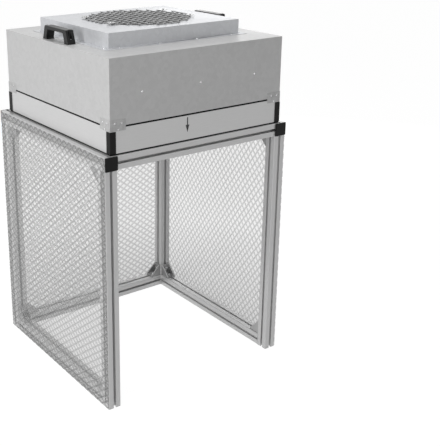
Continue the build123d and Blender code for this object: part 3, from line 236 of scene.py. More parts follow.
def spangle_group():
    """Crystals of a zinc coating: a cell pattern with its own tone in each cell."""
    group, entry, result = new_group(
        "zinc_spangle",
        [("Crystal", "Float", 90.0)],
        [("Tone", "Float"), ("Height", "Float")],
    )
    place = object_place(group)
    cells = group.nodes.new("ShaderNodeTexVoronoi")
    cells.feature = "F1"
    cells.inputs["Randomness"].default_value = 1.0
    link(group, place, cells.inputs["Vector"])
    link(group, entry.outputs["Crystal"], cells.inputs["Scale"])
    split = group.nodes.new("ShaderNodeSeparateColor")
    link(group, cells.outputs["Color"], split.inputs["Color"])
    streaks = noise(group, place, 18.0, 4.0)
    tone = weighted_sum(group, split.outputs["Red"], COARSE_SHARE, streaks, FINE_SHARE)
    link(group, tone, result.inputs["Tone"])
    link(group, cells.outputs["Distance"], result.inputs["Height"])
    return group


def handling_group():
    """Wide soft patches left by handling and dust."""
    group, entry, result = new_group(
        "handling_marks",
        [("Size", "Float", 6.0)],
        [("Mask", "Float")],
    )
    patches = group.nodes.new("ShaderNodeTexNoise")
    patches.inputs["Detail"].default_value = 4.0
    link(group, object_place(group), patches.inputs["Vector"])
    link(group, entry.outputs["Size"], patches.inputs["Scale"])
    link(group, remap(group, patches.outputs["Fac"], 0.35, 0.70, 0.0, 1.0), result.inputs["Mask"])
    return group


def grain_group():
    """Fine moulded or foamed grain."""
    group, entry, result = new_group(
        "moulded_grain",
        [("Fineness", "Float", 900.0)],
        [("Tone", "Float"), ("Height", "Float")],
    )
    place = object_place(group)
    cells = group.nodes.new("ShaderNodeTexVoronoi")
    cells.feature = "SMOOTH_F1"
    link(group, place, cells.inputs["Vector"])
    link(group, entry.outputs["Fineness"], cells.inputs["Scale"])
    link(group, cells.outputs["Distance"], result.inputs["Height"])
    link(group, noise(group, place, 60.0, 3.0), result.inputs["Tone"])
    return group


def thread_group():
    """Two sets of parallel threads laid across a flat sheet, as distance-based masks."""
    group, entry, result = new_group(
        "laid_threads",
        [("Across", "Float", 0.0), ("Up", "Float", 0.0), ("Angle", "Float", 0.6)],
        [("Thread", "Float")],
    )
    spacing = THREAD_CELL_LONG * THREAD_CELL_SHORT / math.hypot(THREAD_CELL_LONG, THREAD_CELL_SHORT)
    sine = reckon(group, "SINE", entry.outputs["Angle"])
    cosine = reckon(group, "COSINE", entry.outputs["Angle"])
    up_part = reckon(group, "MULTIPLY", entry.outputs["Up"], cosine)
    across_part = reckon(group, "MULTIPLY", entry.outputs["Across"], sine)
    lines = []
    for operation in ("SUBTRACT", "ADD"):
        distance = reckon(group, operation, up_part, across_part)
        steps = reckon(group, "DIVIDE", distance, spacing)
        nearest = reckon(group, "ROUND", steps)
        offset = reckon(group, "ABSOLUTE", reckon(group, "SUBTRACT", steps, nearest))
        lines.append(reckon(group, "MULTIPLY", offset, spacing))
    nearest_line = reckon(group, "MINIMUM", lines[0], lines[1])
    strand = remap(group, nearest_line, 0.0, spacing * THREAD_SPREAD, 1.0, 0.0)
    strand.node.interpolation_type = "SMOOTHSTEP"
    link(group, strand, result.inputs["Thread"])
    return group


DRAWN = drawn_metal_group()
SPANGLE = spangle_group()
HANDLING = handling_group()
GRAIN = grain_group()
THREADS = thread_group()


# ------------------------ materials
class Finish:
    """A material with its Principled surface and short ways to feed it."""

    def __init__(self, name, roughness, metallic=0.0, coat=0.0):
        self.material = bpy.data.materials.new(name)
        self.material.use_nodes = True
        self.tree = self.material.node_tree
        self.tree.nodes.clear()
        output = self.tree.nodes.new("ShaderNodeOutputMaterial")
        self.surface = self.tree.nodes.new("ShaderNodeBsdfPrincipled")
        self.surface.inputs["Roughness"].default_value = roughness
        self.surface.inputs["Metallic"].default_value = metallic
        self.surface.inputs["Coat Weight"].default_value = coat
        link(self.tree, self.surface.outputs["BSDF"], output.inputs["Surface"])

    def group(self, group, **values):
        """Places a shader group with its own input values."""
        node = self.tree.nodes.new("ShaderNodeGroup")
        node.node_tree = group
        for label, value in values.items():
            node.inputs[label].default_value = value
        return node

    def colour(self, factor, dark, light):
        """Base colour between two colours by a factor socket."""
        mix = self.tree.nodes.new("ShaderNodeMix")
        mix.data_type = "RGBA"
        mix.inputs["A"].default_value = (*dark, 1.0)
        mix.inputs["B"].default_value = (*light, 1.0)
        link(self.tree, factor, mix.inputs["Factor"])
        link(self.tree, mix.outputs["Result"], self.surface.inputs["Base Color"])
        return mix

    def roughness(self, factor, low, high):
        spread = remap(self.tree, factor, 0.0, 1.0, low, high)
        link(self.tree, spread, self.surface.inputs["Roughness"])

    def bump(self, height, strength, distance):
        node = self.tree.nodes.new("ShaderNodeBump")
        node.inputs["Strength"].default_value = strength
        node.inputs["Distance"].default_value = distance
        link(self.tree, height, node.inputs["Height"])
        link(self.tree, node.outputs["Normal"], self.surface.inputs["Normal"])


def grey(value, tint=(1.0, 1.0, 1.0)):
    return tuple(value * part for part in tint)


def drawn_aluminium(name, stretch, dark, light):
    """Anodised extrusion or drawn bar, with die lines along the bar."""
    finish = Finish(name, 0.34, metallic=ALUMINIUM_METALLIC)
    lines = finish.group(DRAWN, Stretch=stretch)
    marks = finish.group(HANDLING, Size=5.0)
    finish.colour(lines.outputs["Tone"], grey(dark), grey(light))
    finish.roughness(marks.outputs["Mask"], 0.32, 0.42)
    finish.bump(lines.outputs["Height"], 0.12, 0.0002)
    return finish.material


def zinc_sheet(name, dark, light, tint=(1.0, 1.0, 1.0), crystal=90.0, metallic=0.25):
    """Galvanised sheet with a fine spangle."""
    finish = Finish(name, 0.42, metallic=metallic)
    spangle = finish.group(SPANGLE, Crystal=crystal)
    marks = finish.group(HANDLING, Size=4.0)
    finish.colour(spangle.outputs["Tone"], grey(dark, tint), grey(light, tint))
    finish.roughness(marks.outputs["Mask"], 0.36, 0.50)
    finish.bump(spangle.outputs["Height"], 0.06, 0.0003)
    return finish.material


def moulded(
    name, dark, light, roughness, fineness=900.0, depth=0.0001, tint=(1.0, 1.0, 1.0), specular=0.5
):
    """Moulded plastic or rubber with a fine grain."""
    finish = Finish(name, roughness)
    finish.surface.inputs["Specular IOR Level"].default_value = specular
    grain = finish.group(GRAIN, Fineness=fineness)
    marks = finish.group(HANDLING, Size=9.0)
    finish.colour(grain.outputs["Tone"], grey(dark, tint), grey(light, tint))
    finish.roughness(marks.outputs["Mask"], roughness - 0.06, roughness + 0.08)
    finish.bump(grain.outputs["Height"], 0.25, depth)
    return finish.material


def plated(name, dark, light, roughness=0.22):
    """Bright plated steel of screws, bolts and wires."""
    finish = Finish(name, roughness, metallic=1.0)
    marks = finish.group(HANDLING, Size=45.0)
    finish.colour(marks.outputs["Mask"], grey(dark), grey(light, (0.99, 1.0, 1.01)))
    finish.roughness(marks.outputs["Mask"], roughness - 0.05, roughness + 0.12)
    return finish.material


def clear_sheet(name, across_axis, across_sign, angle):
    """Clear soft sheet: see-through cells between dull grey threads laid at one slant."""
    finish = Finish(name, 0.28)
    place = finish.tree.nodes.new("ShaderNodeSeparateXYZ")
    link(finish.tree, object_place(finish.tree), place.inputs["Vector"])
    threads = finish.group(THREADS, Angle=angle)
    across = reckon(finish.tree, "MULTIPLY", place.outputs[across_axis], across_sign)
    up = reckon(finish.tree, "SUBTRACT", place.outputs["Z"], frame_height / 2)
    link(finish.tree, across, threads.inputs["Across"])
    link(finish.tree, up, threads.inputs["Up"])
    strand = threads.outputs["Thread"]
    finish.colour(strand, grey(SHEET_FILM_GREY, (0.995, 1.0, 1.0)), grey(SHEET_THREAD_GREY))
    front = remap(finish.tree, strand, 0.0, 1.0, SHEET_FILM_COVER, SHEET_THREAD_COVER)
    side = finish.tree.nodes.new("ShaderNodeNewGeometry")
    rays = finish.tree.nodes.new("ShaderNodeLightPath")
    single = blended(finish.tree, side.outputs["Backfacing"], front, SHEET_BACK_COVER)
    lit = remap(finish.tree, rays.outputs["Is Shadow Ray"], 0.0, 1.0, 1.0, SHEET_SHADOW_SHARE)
    cover = reckon(finish.tree, "MULTIPLY", single, lit)
    link(finish.tree, cover, finish.surface.inputs["Alpha"])
    return finish.material


UPRIGHT = (1.0, 1.0, 0.02)
ALONG_X = (0.02, 1.0, 1.0)
ALONG_Y = (1.0, 0.02, 1.0)
POST_METAL = drawn_aluminium("anodised_post", UPRIGHT, 0.58, 0.68)
CROSS_RAIL_METAL = drawn_aluminium("anodised_cross_rail", ALONG_X, 0.58, 0.68)
SIDE_RAIL_METAL = drawn_aluminium("anodised_side_rail", ALONG_Y, 0.58, 0.68)
FILTER_METAL = drawn_aluminium("filter_frame_metal", (0.1, 0.1, 1.0), 0.62, 0.70)
HOUSING_METAL = zinc_sheet("housing_zinc", 0.56, 0.62)
BOX_METAL = zinc_sheet("inlet_box_zinc", 0.62, 0.70, (0.975, 0.99, 1.02), metallic=0.36)
CLIP_METAL = zinc_sheet("clip_zinc", 0.46, 0.58, crystal=140.0)
BELL_METAL = zinc_sheet("bell_zinc", 0.38, 0.46, metallic=0.5)
FAN_METAL = drawn_aluminium("fan_wheel_metal", (1.0, 1.0, 1.0), 0.13, 0.19)
HUB_METAL = drawn_aluminium("cast_hub", (1.0, 1.0, 1.0), 0.56, 0.66)
CASTING = moulded("tumbled_casting", 0.34, 0.46, 0.45, 500.0, 0.0002)
CASTING.node_tree.nodes["Principled BSDF"].inputs["Metallic"].default_value = CASTING_METALLIC
BRIGHT_ZINC = plated("bright_zinc", 0.50, 0.68)
DULL_ZINC = plated("dull_zinc", 0.30, 0.42)
BRIGHT_WIRE = plated("bright_wire", 0.36, 0.48)
BEARING_STEEL = plated("bearing_steel", 0.45, 0.60, 0.16)
SILVER_DISC = plated("spun_disc", 0.30, 0.38, 0.34)
BLACK_PLASTIC = moulded("black_grained_plastic", 0.005, 0.009, 0.42, specular=0.15)
SMOOTH_BLACK = moulded("black_smooth_plastic", 0.006, 0.010, 0.30, 1600.0, 0.00005, specular=0.25)
CONTROL_CASE = moulded("control_case", 0.05, 0.08, 0.45)
GASKET_FOAM = moulded("gasket_foam", 0.005, 0.010, 0.80, 1100.0, 0.0003, specular=0.15)
LINING_FOAM = moulded("lining_foam", 0.05, 0.09, 0.90, 420.0, 0.0012)
CLEAR_TAPE = moulded("foam_tape", 0.62, 0.72, 0.50, 700.0, 0.0001)
SEALANT = moulded("cast_sealant", 0.60, 0.68, 0.35, 120.0, 0.0002, (1.0, 0.98, 0.92))
FILTER_PAPER = moulded("glass_fibre_paper", 0.72, 0.82, 0.85, 1500.0, 0.0001)
GRILLE_WHITE = moulded("white_powder_coat", 0.70, 0.76, 0.40, 700.0, 0.00005)
CAN_WHITE = moulded("capacitor_can", 0.66, 0.74, 0.30)
LEAD_JACKET = moulded("lead_jacket", 0.012, 0.02, 0.50, 600.0, 0.0001)
BEAD_GLUE = moulded("bead_glue", 0.66, 0.74, 0.35, 300.0, 0.0001, (1.0, 0.98, 0.93))
PRINT_BLACK = moulded("print_black", 0.015, 0.03, 0.55)
flat_angle = math.atan2(THREAD_CELL_SHORT, THREAD_CELL_LONG)
steep_angle = math.atan2(THREAD_CELL_LONG, THREAD_CELL_SHORT)
SHEET_LEFT = clear_sheet("clear_sheet_left", "Y", -1.0, flat_angle)
SHEET_RIGHT = clear_sheet("clear_sheet_right", "Y", 1.0, steep_angle)
SHEET_REAR = clear_sheet("clear_sheet_rear", "X", -1.0, flat_angle)

finish_groups = (
    (POST_METAL, ("post_front_left", "post_front_right", "post_rear_left", "post_rear_right")),
    (
        SIDE_RAIL_METAL,
        (
            "top_rail_left", "top_rail_right", "bottom_rail_left", "bottom_rail_right",
        ),
    ),
    (CROSS_RAIL_METAL, ("top_rail_front", "top_rail_rear", "bottom_rail_rear")),
    (BLACK_PLASTIC, ("end_caps", "corner_guards")),
    (CASTING, ("lower_brackets", "upper_brackets", "rail_brackets", "motor_stator")),
    (
        BRIGHT_ZINC,
        (
            "bracket_bolts", "slot_nuts", "clip_screws", "inlet_box_screws", "rotor_screws",
            "motor_screws", "deck_rivets", "diffuser_spacers", "handle_screws", "hex_nuts",
            "knob_spindle",
        ),
    ),
    (CLEAR_TAPE, ("panel_tape",)),
    (SHEET_LEFT, ("panel_left",)),
    (SHEET_RIGHT, ("panel_right",)),
    (SHEET_REAR, ("panel_rear",)),
    (GASKET_FOAM, ("base_gasket", "seam_gasket")),
    (FILTER_METAL, ("filter_frame",)),
    (SEALANT, ("filter_sealant",)),
    (FILTER_PAPER, ("filter_media",)),
    (GRILLE_WHITE, ("filter_face_guard",)),
    (CLIP_METAL, ("filter_clips",)),
    (HOUSING_METAL, ("fan_housing", "motor_deck", "diffuser_plate")),
    (BOX_METAL, ("inlet_box",)),
    (BELL_METAL, ("inlet_bell",)),
    (BRIGHT_WIRE, ("inlet_guard",)),
    (DULL_ZINC, ("guard_screws",)),
    (FAN_METAL, ("fan_wheel",)),
    (HUB_METAL, ("motor_rotor",)),
    (BEARING_STEEL, ("motor_bearings",)),
    (LINING_FOAM, ("foam_lining",)),
    (SMOOTH_BLACK, ("handle_left", "handle_right", "speed_knob", "power_inlet", "fuse_drawer")),
    (SILVER_DISC, ("knob_cap",)),
    (CONTROL_CASE, ("speed_control",)),
    (CAN_WHITE, ("run_capacitor",)),
    (LEAD_JACKET, ("motor_lead", "mains_lead")),
)
node_finishes = {name: finish for finish, names in finish_groups for name in names}
for name, material in node_finishes.items():
    nodes[name].data.materials.clear()
    nodes[name].data.materials.append(material)

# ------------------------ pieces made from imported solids
record = frame["record"]
bodies = record["behaviour"]["bodies"]
body_of_node = {node: body for body, members in bodies.items() for node in members}


def new_object(name, mesh):
    piece = bpy.data.objects.new(name, mesh)
    bpy.context.collection.objects.link(piece)
    return piece


def object_from(work, name):
    """A new object from bmesh work, which is freed."""
    mesh = bpy.data.meshes.new(name)
    work.to_mesh(mesh)
    work.free()
    return new_object(name, mesh)


def made_plain(piece):
    """Turns the evaluated piece into its own plain mesh and drops the modifiers."""
    depsgraph = bpy.context.evaluated_depsgraph_get()
    mesh = bpy.data.meshes.new_from_object(
        piece.evaluated_get(depsgraph), preserve_all_data_layers=True, depsgraph=depsgraph
    )
    mesh.name = piece.name
    piece.modifiers.clear()
    piece.data = mesh
    return mesh


def stands_for(piece, material, *names):
    """The piece takes a finish, rides on the solids' body and is shown in their place."""
    if material is not None:
        piece.data.materials.clear()
        piece.data.materials.append(material)
    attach(piece, body_of_node[names[0]])
    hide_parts(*names)


def welded(name):
    """A solid's triangles joined at their corners and merged into flat faces."""
    work = bmesh.new()
    work.from_mesh(nodes[name].data)
    bmesh.ops.remove_doubles(work, verts=work.verts, dist=WELD)
    bmesh.ops.dissolve_degenerate(work, edges=work.edges, dist=WELD)
    bmesh.ops.dissolve_limit(work, angle_limit=FLAT_ANGLE, verts=work.verts, edges=work.edges)
    return work


def softened(name, width, segments=2, smooth=True):
    """A solid's welded copy with its sharp edges rounded and its curved faces smooth."""
    work = welded(name)
    for face in work.faces:
        face.smooth = smooth
    piece = object_from(work, f"{name}_shell")
    piece.data.set_sharp_from_angle(angle=SMOOTH_ANGLE)
    if width > 0:
        bevel = piece.modifiers.new("rounded_edges", "BEVEL")
        bevel.width = width
        bevel.segments = segments
        bevel.limit_method = "ANGLE"
        bevel.angle_limit = BEVEL_ANGLE
        bevel.use_clamp_overlap = False
        bevel.miter_outer = "MITER_ARC"
    shading = piece.modifiers.new("even_shading", "WEIGHTED_NORMAL")
    shading.keep_sharp = True
    shading.weight = 80
    made_plain(piece)
    stands_for(piece, node_finishes[name], name)
    return piece


edge_rounds = (
    (
        SLOT_EDGE_ROUND,
        (
            "post_front_left", "post_front_right", "post_rear_left", "post_rear_right",
            "top_rail_left", "top_rail_right", "top_rail_front", "top_rail_rear",
            "bottom_rail_left", "bottom_rail_right", "bottom_rail_rear",
        ),
    ),
    (EDGE_ROUND, ("end_caps",)),
    (CASTING_EDGE_ROUND, ("lower_brackets", "upper_brackets", "rail_brackets")),
    (SMALL_EDGE_ROUND, ("bracket_bolts",)),
    (SHEET_EDGE_ROUND, ("filter_frame", "corner_guards", "filter_clips")),
    (EDGE_ROUND, ("base_gasket", "seam_gasket")),
    (SHEET_EDGE_ROUND, ("fan_housing", "inlet_box")),
    (0.0, ("inlet_bell", "fan_wheel")),
    (EDGE_ROUND, ("motor_rotor",)),
    (CASTING_EDGE_ROUND, ("handle_left", "handle_right")),
    (SMALL_EDGE_ROUND, ("handle_screws", "speed_knob", "knob_cap", "power_inlet", "fuse_drawer")),
    (0.0, ("run_capacitor",)),
)
softened_pieces = {name: softened(name, width) for width, names in edge_rounds for name in names}


def paint_pins(piece):
    """The blades of the power inlet are bright metal inside the black body."""
    low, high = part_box("power_inlet")
    piece.data.materials.append(BRIGHT_ZINC)
    middle_x = (low[0] + high[0]) / 2
    recess_y = (low[1] + high[1]) / 2 - INLET_RECESS_SHIFT
    for face in piece.data.polygons:
        inside_x = abs(face.center.x - middle_x) < INLET_PIN_REACH_X
        inside_y = abs(face.center.y - recess_y) < INLET_PIN_REACH_Y
        height = face.center.z
        inside_z = high[2] - INLET_RECESS_DEPTH + WELD * 10 < height < high[2] - INLET_PIN_TOP
        if inside_x and inside_y and inside_z:
            face.material_index = 1


paint_pins(softened_pieces["power_inlet"])


# ------------------------ geometry node helpers
def geometry_tree(name, inputs):
    """A geometry node tree with named inputs (name, kind, default) and its own output."""
    tree = bpy.data.node_groups.new(name, "GeometryNodeTree")
    tree.interface.new_socket("Geometry", in_out="OUTPUT", socket_type="NodeSocketGeometry")
    for label, kind, default in inputs:
        socket = tree.interface.new_socket(label, in_out="INPUT", socket_type=f"NodeSocket{kind}")
        if default is not None:
            socket.default_value = default
    entry = tree.nodes.new("NodeGroupInput")
    result = tree.nodes.new("NodeGroupOutput")
    return tree, entry, result


def geometry_node(tree, kind, **settings):
    """A node with its properties set; links are made by feed."""
    node = tree.nodes.new(kind)
    for label, value in settings.items():
        setattr(node, label, value)
    return node


def feed(tree, node, **values):
    """Feeds a node's inputs by name, from sockets or values; blanks in a name are written _."""
    for label, value in values.items():
        socket = node.inputs[label.replace("_", " ")]
        if isinstance(value, bpy.types.NodeSocket):
            tree.links.new(value, socket)
        else:
            socket.default_value = value
    return node


def vector_of(tree, x=0.0, y=0.0, z=0.0):
    node = geometry_node(tree, "ShaderNodeCombineXYZ")
    return feed(tree, node, X=x, Y=y, Z=z).outputs[0]


def point_parts(tree):
    """X, Y and Z of each point."""
    place = geometry_node(tree, "GeometryNodeInputPosition")
    parts = geometry_node(tree, "ShaderNodeSeparateXYZ")
    tree.links.new(place.outputs[0], parts.inputs[0])
    return parts.outputs


def finish_tree(tree, geometry, material, result):
    """Realises the copies and gives them their material."""
    real = geometry_node(tree, "GeometryNodeRealizeInstances")
    tree.links.new(geometry, real.inputs["Geometry"])
    painted = geometry_node(tree, "GeometryNodeSetMaterial")
    tree.links.new(real.outputs["Geometry"], painted.inputs["Geometry"])
    tree.links.new(material, painted.inputs["Material"])
    tree.links.new(painted.outputs["Geometry"], result.inputs["Geometry"])


def grown(name, tree, base=None, **values):
    """A piece whose mesh comes from a geometry tree with these input values."""
    piece = new_object(name, base if base is not None else bpy.data.meshes.new(name))
    modifier = piece.modifiers.new(name, "NODES")
    modifier.node_group = tree
    for item in tree.interface.items_tree:
        if item.in_out != "INPUT":
            continue
        label = item.name.replace(" ", "_")
        if label in values:
            modifier[item.identifier] = values[label]
    made_plain(piece)
    return piece


# ------------------------ crossed round wires
def crossed_wires_tree():
    """Two layers of round wires; each ends just past its last crossing inside a round reach."""
    tree, entry, result = geometry_tree(
        "crossed_wires",
        [
            ("Pitch", "Float", 0.024),
            ("Count Across", "Int", 14),
            ("Count Along", "Int", 14),
            ("Reach", "Float", 0.162),
            ("Wire End", "Float", 0.006),
            ("Longest Across", "Float", 1.0),
            ("Longest Along", "Float", 1.0),
            ("Wire Radius", "Float", 0.0015),
            ("Layer Rise", "Float", 0.0025),
            ("Middle", "Vector", (0.0, 0.0, 0.0)),
            ("Material", "Material", None),
        ],
    )
    given = entry.outputs
    wire = geometry_node(tree, "GeometryNodeMeshCylinder")
    feed(tree, wire, Vertices=WIRE_SIDES, Radius=given["Wire Radius"], Depth=2.0)

    def layer(count, longest, turn, rise):
        """Wires along local X, set out along Y; turn is the layer's turn about the upright."""
        first = reckon(tree, "MULTIPLY", reckon(tree, "SUBTRACT", count, 1.0), -0.5)
        start = vector_of(tree, y=reckon(tree, "MULTIPLY", first, given["Pitch"]))
        line = geometry_node(tree, "GeometryNodeMeshLine")
        gap = vector_of(tree, y=given["Pitch"])
        feed(tree, line, Count=count, Start_Location=start, Offset=gap)
        parts = point_parts(tree)
        squares = reckon(
            tree,
            "SUBTRACT",
            reckon(tree, "POWER", given["Reach"], 2.0),
            reckon(tree, "POWER", parts["Y"], 2.0),
        )
        chord = reckon(tree, "SQRT", squares)
        pitches = reckon(tree, "DIVIDE", chord, given["Pitch"])
        crossings = reckon(tree, "FLOOR", reckon(tree, "SUBTRACT", pitches, 0.5))
        last = reckon(tree, "MULTIPLY", reckon(tree, "ADD", crossings, 0.5), given["Pitch"])
        half = reckon(tree, "MINIMUM", reckon(tree, "ADD", last, given["Wire End"]), longest)
        copies = geometry_node(tree, "GeometryNodeInstanceOnPoints")
        feed(
            tree,
            copies,
            Points=line.outputs["Mesh"],
            Instance=wire.outputs["Mesh"],
            Rotation=(0.0, math.pi / 2, 0.0),
            Scale=vector_of(tree, 1.0, 1.0, half),
        )
        real = geometry_node(tree, "GeometryNodeRealizeInstances")
        feed(tree, real, Geometry=copies.outputs["Instances"])
        placed = geometry_node(tree, "GeometryNodeTransform")
        lift = vector_of(tree, z=rise)
        spin = (0.0, 0.0, turn)
        feed(tree, placed, Geometry=real.outputs["Geometry"], Translation=lift, Rotation=spin)
        return placed.outputs["Geometry"]

    lower = layer(given["Count Across"], given["Longest Across"], 0.0, 0.0)
    upper = layer(given["Count Along"], given["Longest Along"], math.pi / 2, given["Layer Rise"])
    both = geometry_node(tree, "GeometryNodeJoinGeometry")
    tree.links.new(lower, both.inputs[0])
    tree.links.new(upper, both.inputs[0])
    moved = geometry_node(tree, "GeometryNodeTransform")
    feed(tree, moved, Geometry=both.outputs[0], Translation=given["Middle"])
    finish_tree(tree, moved.outputs["Geometry"], given["Material"], result)
    return tree


def smooth_shaded(piece):
    for face in piece.data.polygons:
        face.use_smooth = True
    piece.data.set_sharp_from_angle(angle=SMOOTH_ANGLE)


CROSSED_WIRES = crossed_wires_tree()
guard_middle = (guard_low + guard_high) / 2
wire_guard = grown(
    "inlet_wire_guard",
    CROSSED_WIRES,
    Pitch=GUARD_PITCH,
    Count_Across=GUARD_WIRES,
    Count_Along=GUARD_WIRES,
    Reach=GUARD_REACH,
    Wire_End=GUARD_WIRE_END,
    Wire_Radius=WIRE_RADIUS,
    Layer_Rise=GUARD_LAYER_RISE,
    Middle=(guard_middle[0], guard_middle[1], guard_low[2] + WIRE_RADIUS),
    Material=BRIGHT_WIRE,
)
smooth_shaded(wire_guard)
stands_for(wire_guard, None, "inlet_guard")


# ------------------------ filter pack and its grille
def grille():
    """White welded grille under the filter pack, in its flat border."""
    middle = (grille_low + grille_high) / 2
    half_x = (grille_high[0] - grille_low[0]) / 2
    half_y = (grille_high[1] - grille_low[1]) / 2
    count_x = math.floor(2 * half_x / GRILLE_PITCH) - 2
    wires = grown(
        "filter_grille_wires",
        CROSSED_WIRES,
        Pitch=GRILLE_PITCH,
        Count_Across=count_x,
        Count_Along=count_x,
        Reach=GRILLE_FAR,
        Wire_End=0.0,
        Longest_Across=half_x - GRILLE_BORDER / 2,
        Longest_Along=half_y - GRILLE_BORDER / 2,
        Wire_Radius=GRILLE_WIRE_RADIUS,
        Layer_Rise=GRILLE_WIRE_RADIUS * 1.6,
        Middle=(middle[0], middle[1], grille_low[2] + GRILLE_WIRE_RADIUS),
        Material=GRILLE_WHITE,
    )
    smooth_shaded(wires)
    work = bmesh.new()
    work.from_mesh(wires.data)
    corners = []
    for inset in (0.0, GRILLE_BORDER):
        ring = []
        for x_sign, y_sign in CORNER_SIGNS:
            spot = (middle[0] + x_sign * (half_x - inset), middle[1] + y_sign * (half_y - inset))
            heights = (grille_low[2], grille_high[2])
            ring.append([work.verts.new((*spot, height)) for height in heights])
        corners.append(ring)
    outer, inner = corners
    for k in range(4):
        n = (k + 1) % 4
        work.faces.new((outer[k][0], outer[n][0], outer[n][1], outer[k][1]))
        work.faces.new((inner[n][0], inner[k][0], inner[k][1], inner[n][1]))
        work.faces.new((outer[k][1], outer[n][1], inner[n][1], inner[k][1]))
        work.faces.new((outer[n][0], outer[k][0], inner[k][0], inner[n][0]))
    work.to_mesh(wires.data)
    work.free()
    stands_for(wires, None, "filter_face_guard")
    return wires


def pleated_pack_tree():
    """Zigzag paper between two heights."""
    tree, entry, result = geometry_tree(
        "pleated_pack",
        [
            ("Width", "Float", 0.578),
            ("Depth", "Float", 0.578),
            ("Height", "Float", 0.060),
            ("Pleats", "Int", 130),
            ("Paper", "Float", 0.0005),
            ("Middle", "Vector", (0.0, 0.0, 0.0)),
            ("Material", "Material", None),
        ],
    )
    given = entry.outputs
    folds = reckon(tree, "ADD", reckon(tree, "MULTIPLY", given["Pleats"], 2.0), 1.0)
    sheet = geometry_node(tree, "GeometryNodeMeshGrid")
    feed(tree, sheet, Size_X=given["Width"], Size_Y=given["Depth"], Vertices_X=folds, Vertices_Y=2)
    parts = point_parts(tree)
    step = reckon(tree, "DIVIDE", given["Width"], reckon(tree, "MULTIPLY", given["Pleats"], 2.0))
    half_width = reckon(tree, "MULTIPLY", given["Width"], 0.5)
    from_edge = reckon(tree, "ADD", parts["X"], half_width)
    fold = reckon(tree, "ROUND", reckon(tree, "DIVIDE", from_edge, step))
    raised = reckon(tree, "MULTIPLY", reckon(tree, "FLOORED_MODULO", fold, 2.0), given["Height"])
    folded = geometry_node(tree, "GeometryNodeSetPosition")
    feed(tree, folded, Geometry=sheet.outputs["Mesh"], Offset=vector_of(tree, z=raised))
    thick = geometry_node(tree, "GeometryNodeExtrudeMesh")
    feed(
        tree,
        thick,
        Mesh=folded.outputs["Geometry"],
        Offset=(0.0, 0.0, 1.0),
        Offset_Scale=given["Paper"],
        Individual=False,
    )
    turned = geometry_node(tree, "GeometryNodeFlipFaces")
    feed(tree, turned, Mesh=folded.outputs["Geometry"])
    closed = geometry_node(tree, "GeometryNodeJoinGeometry")
    tree.links.new(thick.outputs["Mesh"], closed.inputs[0])
    tree.links.new(turned.outputs["Mesh"], closed.inputs[0])
    merged = geometry_node(tree, "GeometryNodeMergeByDistance")
    feed(tree, merged, Geometry=closed.outputs[0], Distance=WELD)
    moved = geometry_node(tree, "GeometryNodeTransform")
    feed(tree, moved, Geometry=merged.outputs["Geometry"], Translation=given["Middle"])
    finish_tree(tree, moved.outputs["Geometry"], given["Material"], result)
    return tree


def filter_pack():
    """Fine pleated pack with its glue threads, in the room of the plain pack."""
    size = media_high - media_low
    middle = (media_high + media_low) / 2
    paper = grown(
        "filter_pleats",
        pleated_pack_tree(),
        Width=size[0],
        Depth=size[1],
        Height=size[2] - PLEAT_PAPER - 2 * BEAD_RADIUS,
        Pleats=math.floor(size[0] / PLEAT_PITCH),
        Paper=PLEAT_PAPER,
        Middle=(middle[0], middle[1], media_low[2] + BEAD_RADIUS),
        Material=FILTER_PAPER,
    )
    stands_for(paper, None, "filter_media")
    beads = grown(
        "filter_glue_threads",
        CROSSED_WIRES,
        Pitch=BEAD_PITCH,
        Count_Across=math.floor(size[1] / BEAD_PITCH),
        Count_Along=0,
        Reach=GRILLE_FAR,
        Wire_End=0.0,
        Longest_Across=size[0] / 2,
        Wire_Radius=BEAD_RADIUS,
        Middle=(middle[0], middle[1], media_low[2] + BEAD_RADIUS),
        Material=BEAD_GLUE,
    )
    smooth_shaded(beads)
    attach(beads, body_of_node["filter_media"])


grille()
filter_pack()


# ------------------------ screws and rivets
def turned_head(profile, sides):
    """A round head from radius and height pairs, closed at its top and bottom."""
    work = bmesh.new()
    rings = []
    for radius, height in profile:
        ring = []
        for k in range(sides):
            angle = 2 * math.pi * k / sides
            spot = (radius * math.cos(angle), radius * math.sin(angle), height)
            ring.append(work.verts.new(spot))
        rings.append(ring)
    for low, high in zip(rings, rings[1:]):
        for k in range(sides):
            n = (k + 1) % sides
            work.faces.new((low[k], low[n], high[n], high[k]))
    work.faces.new(list(reversed(rings[0])))
    work.faces.new(rings[-1])
    return work


def cross_recess(head_height):
    """The two tapered slots of a cross-recess screw, as one cutter."""
    work = bmesh.new()
    for turn in (0.0, math.pi / 2):
        block = bmesh.ops.create_cube(work, size=1.0)
        for vertex in block["verts"]:
            taper = 1.0 if vertex.co.z > 0 else RECESS_TAPER
            vertex.co.x *= RECESS_LENGTH * taper
            vertex.co.y *= RECESS_WIDTH * taper
            vertex.co.z = head_height * (1.2 if vertex.co.z > 0 else 0.25)
        bmesh.ops.rotate(work, verts=block["verts"], matrix=Matrix.Rotation(turn, 3, "Z"))
    return work


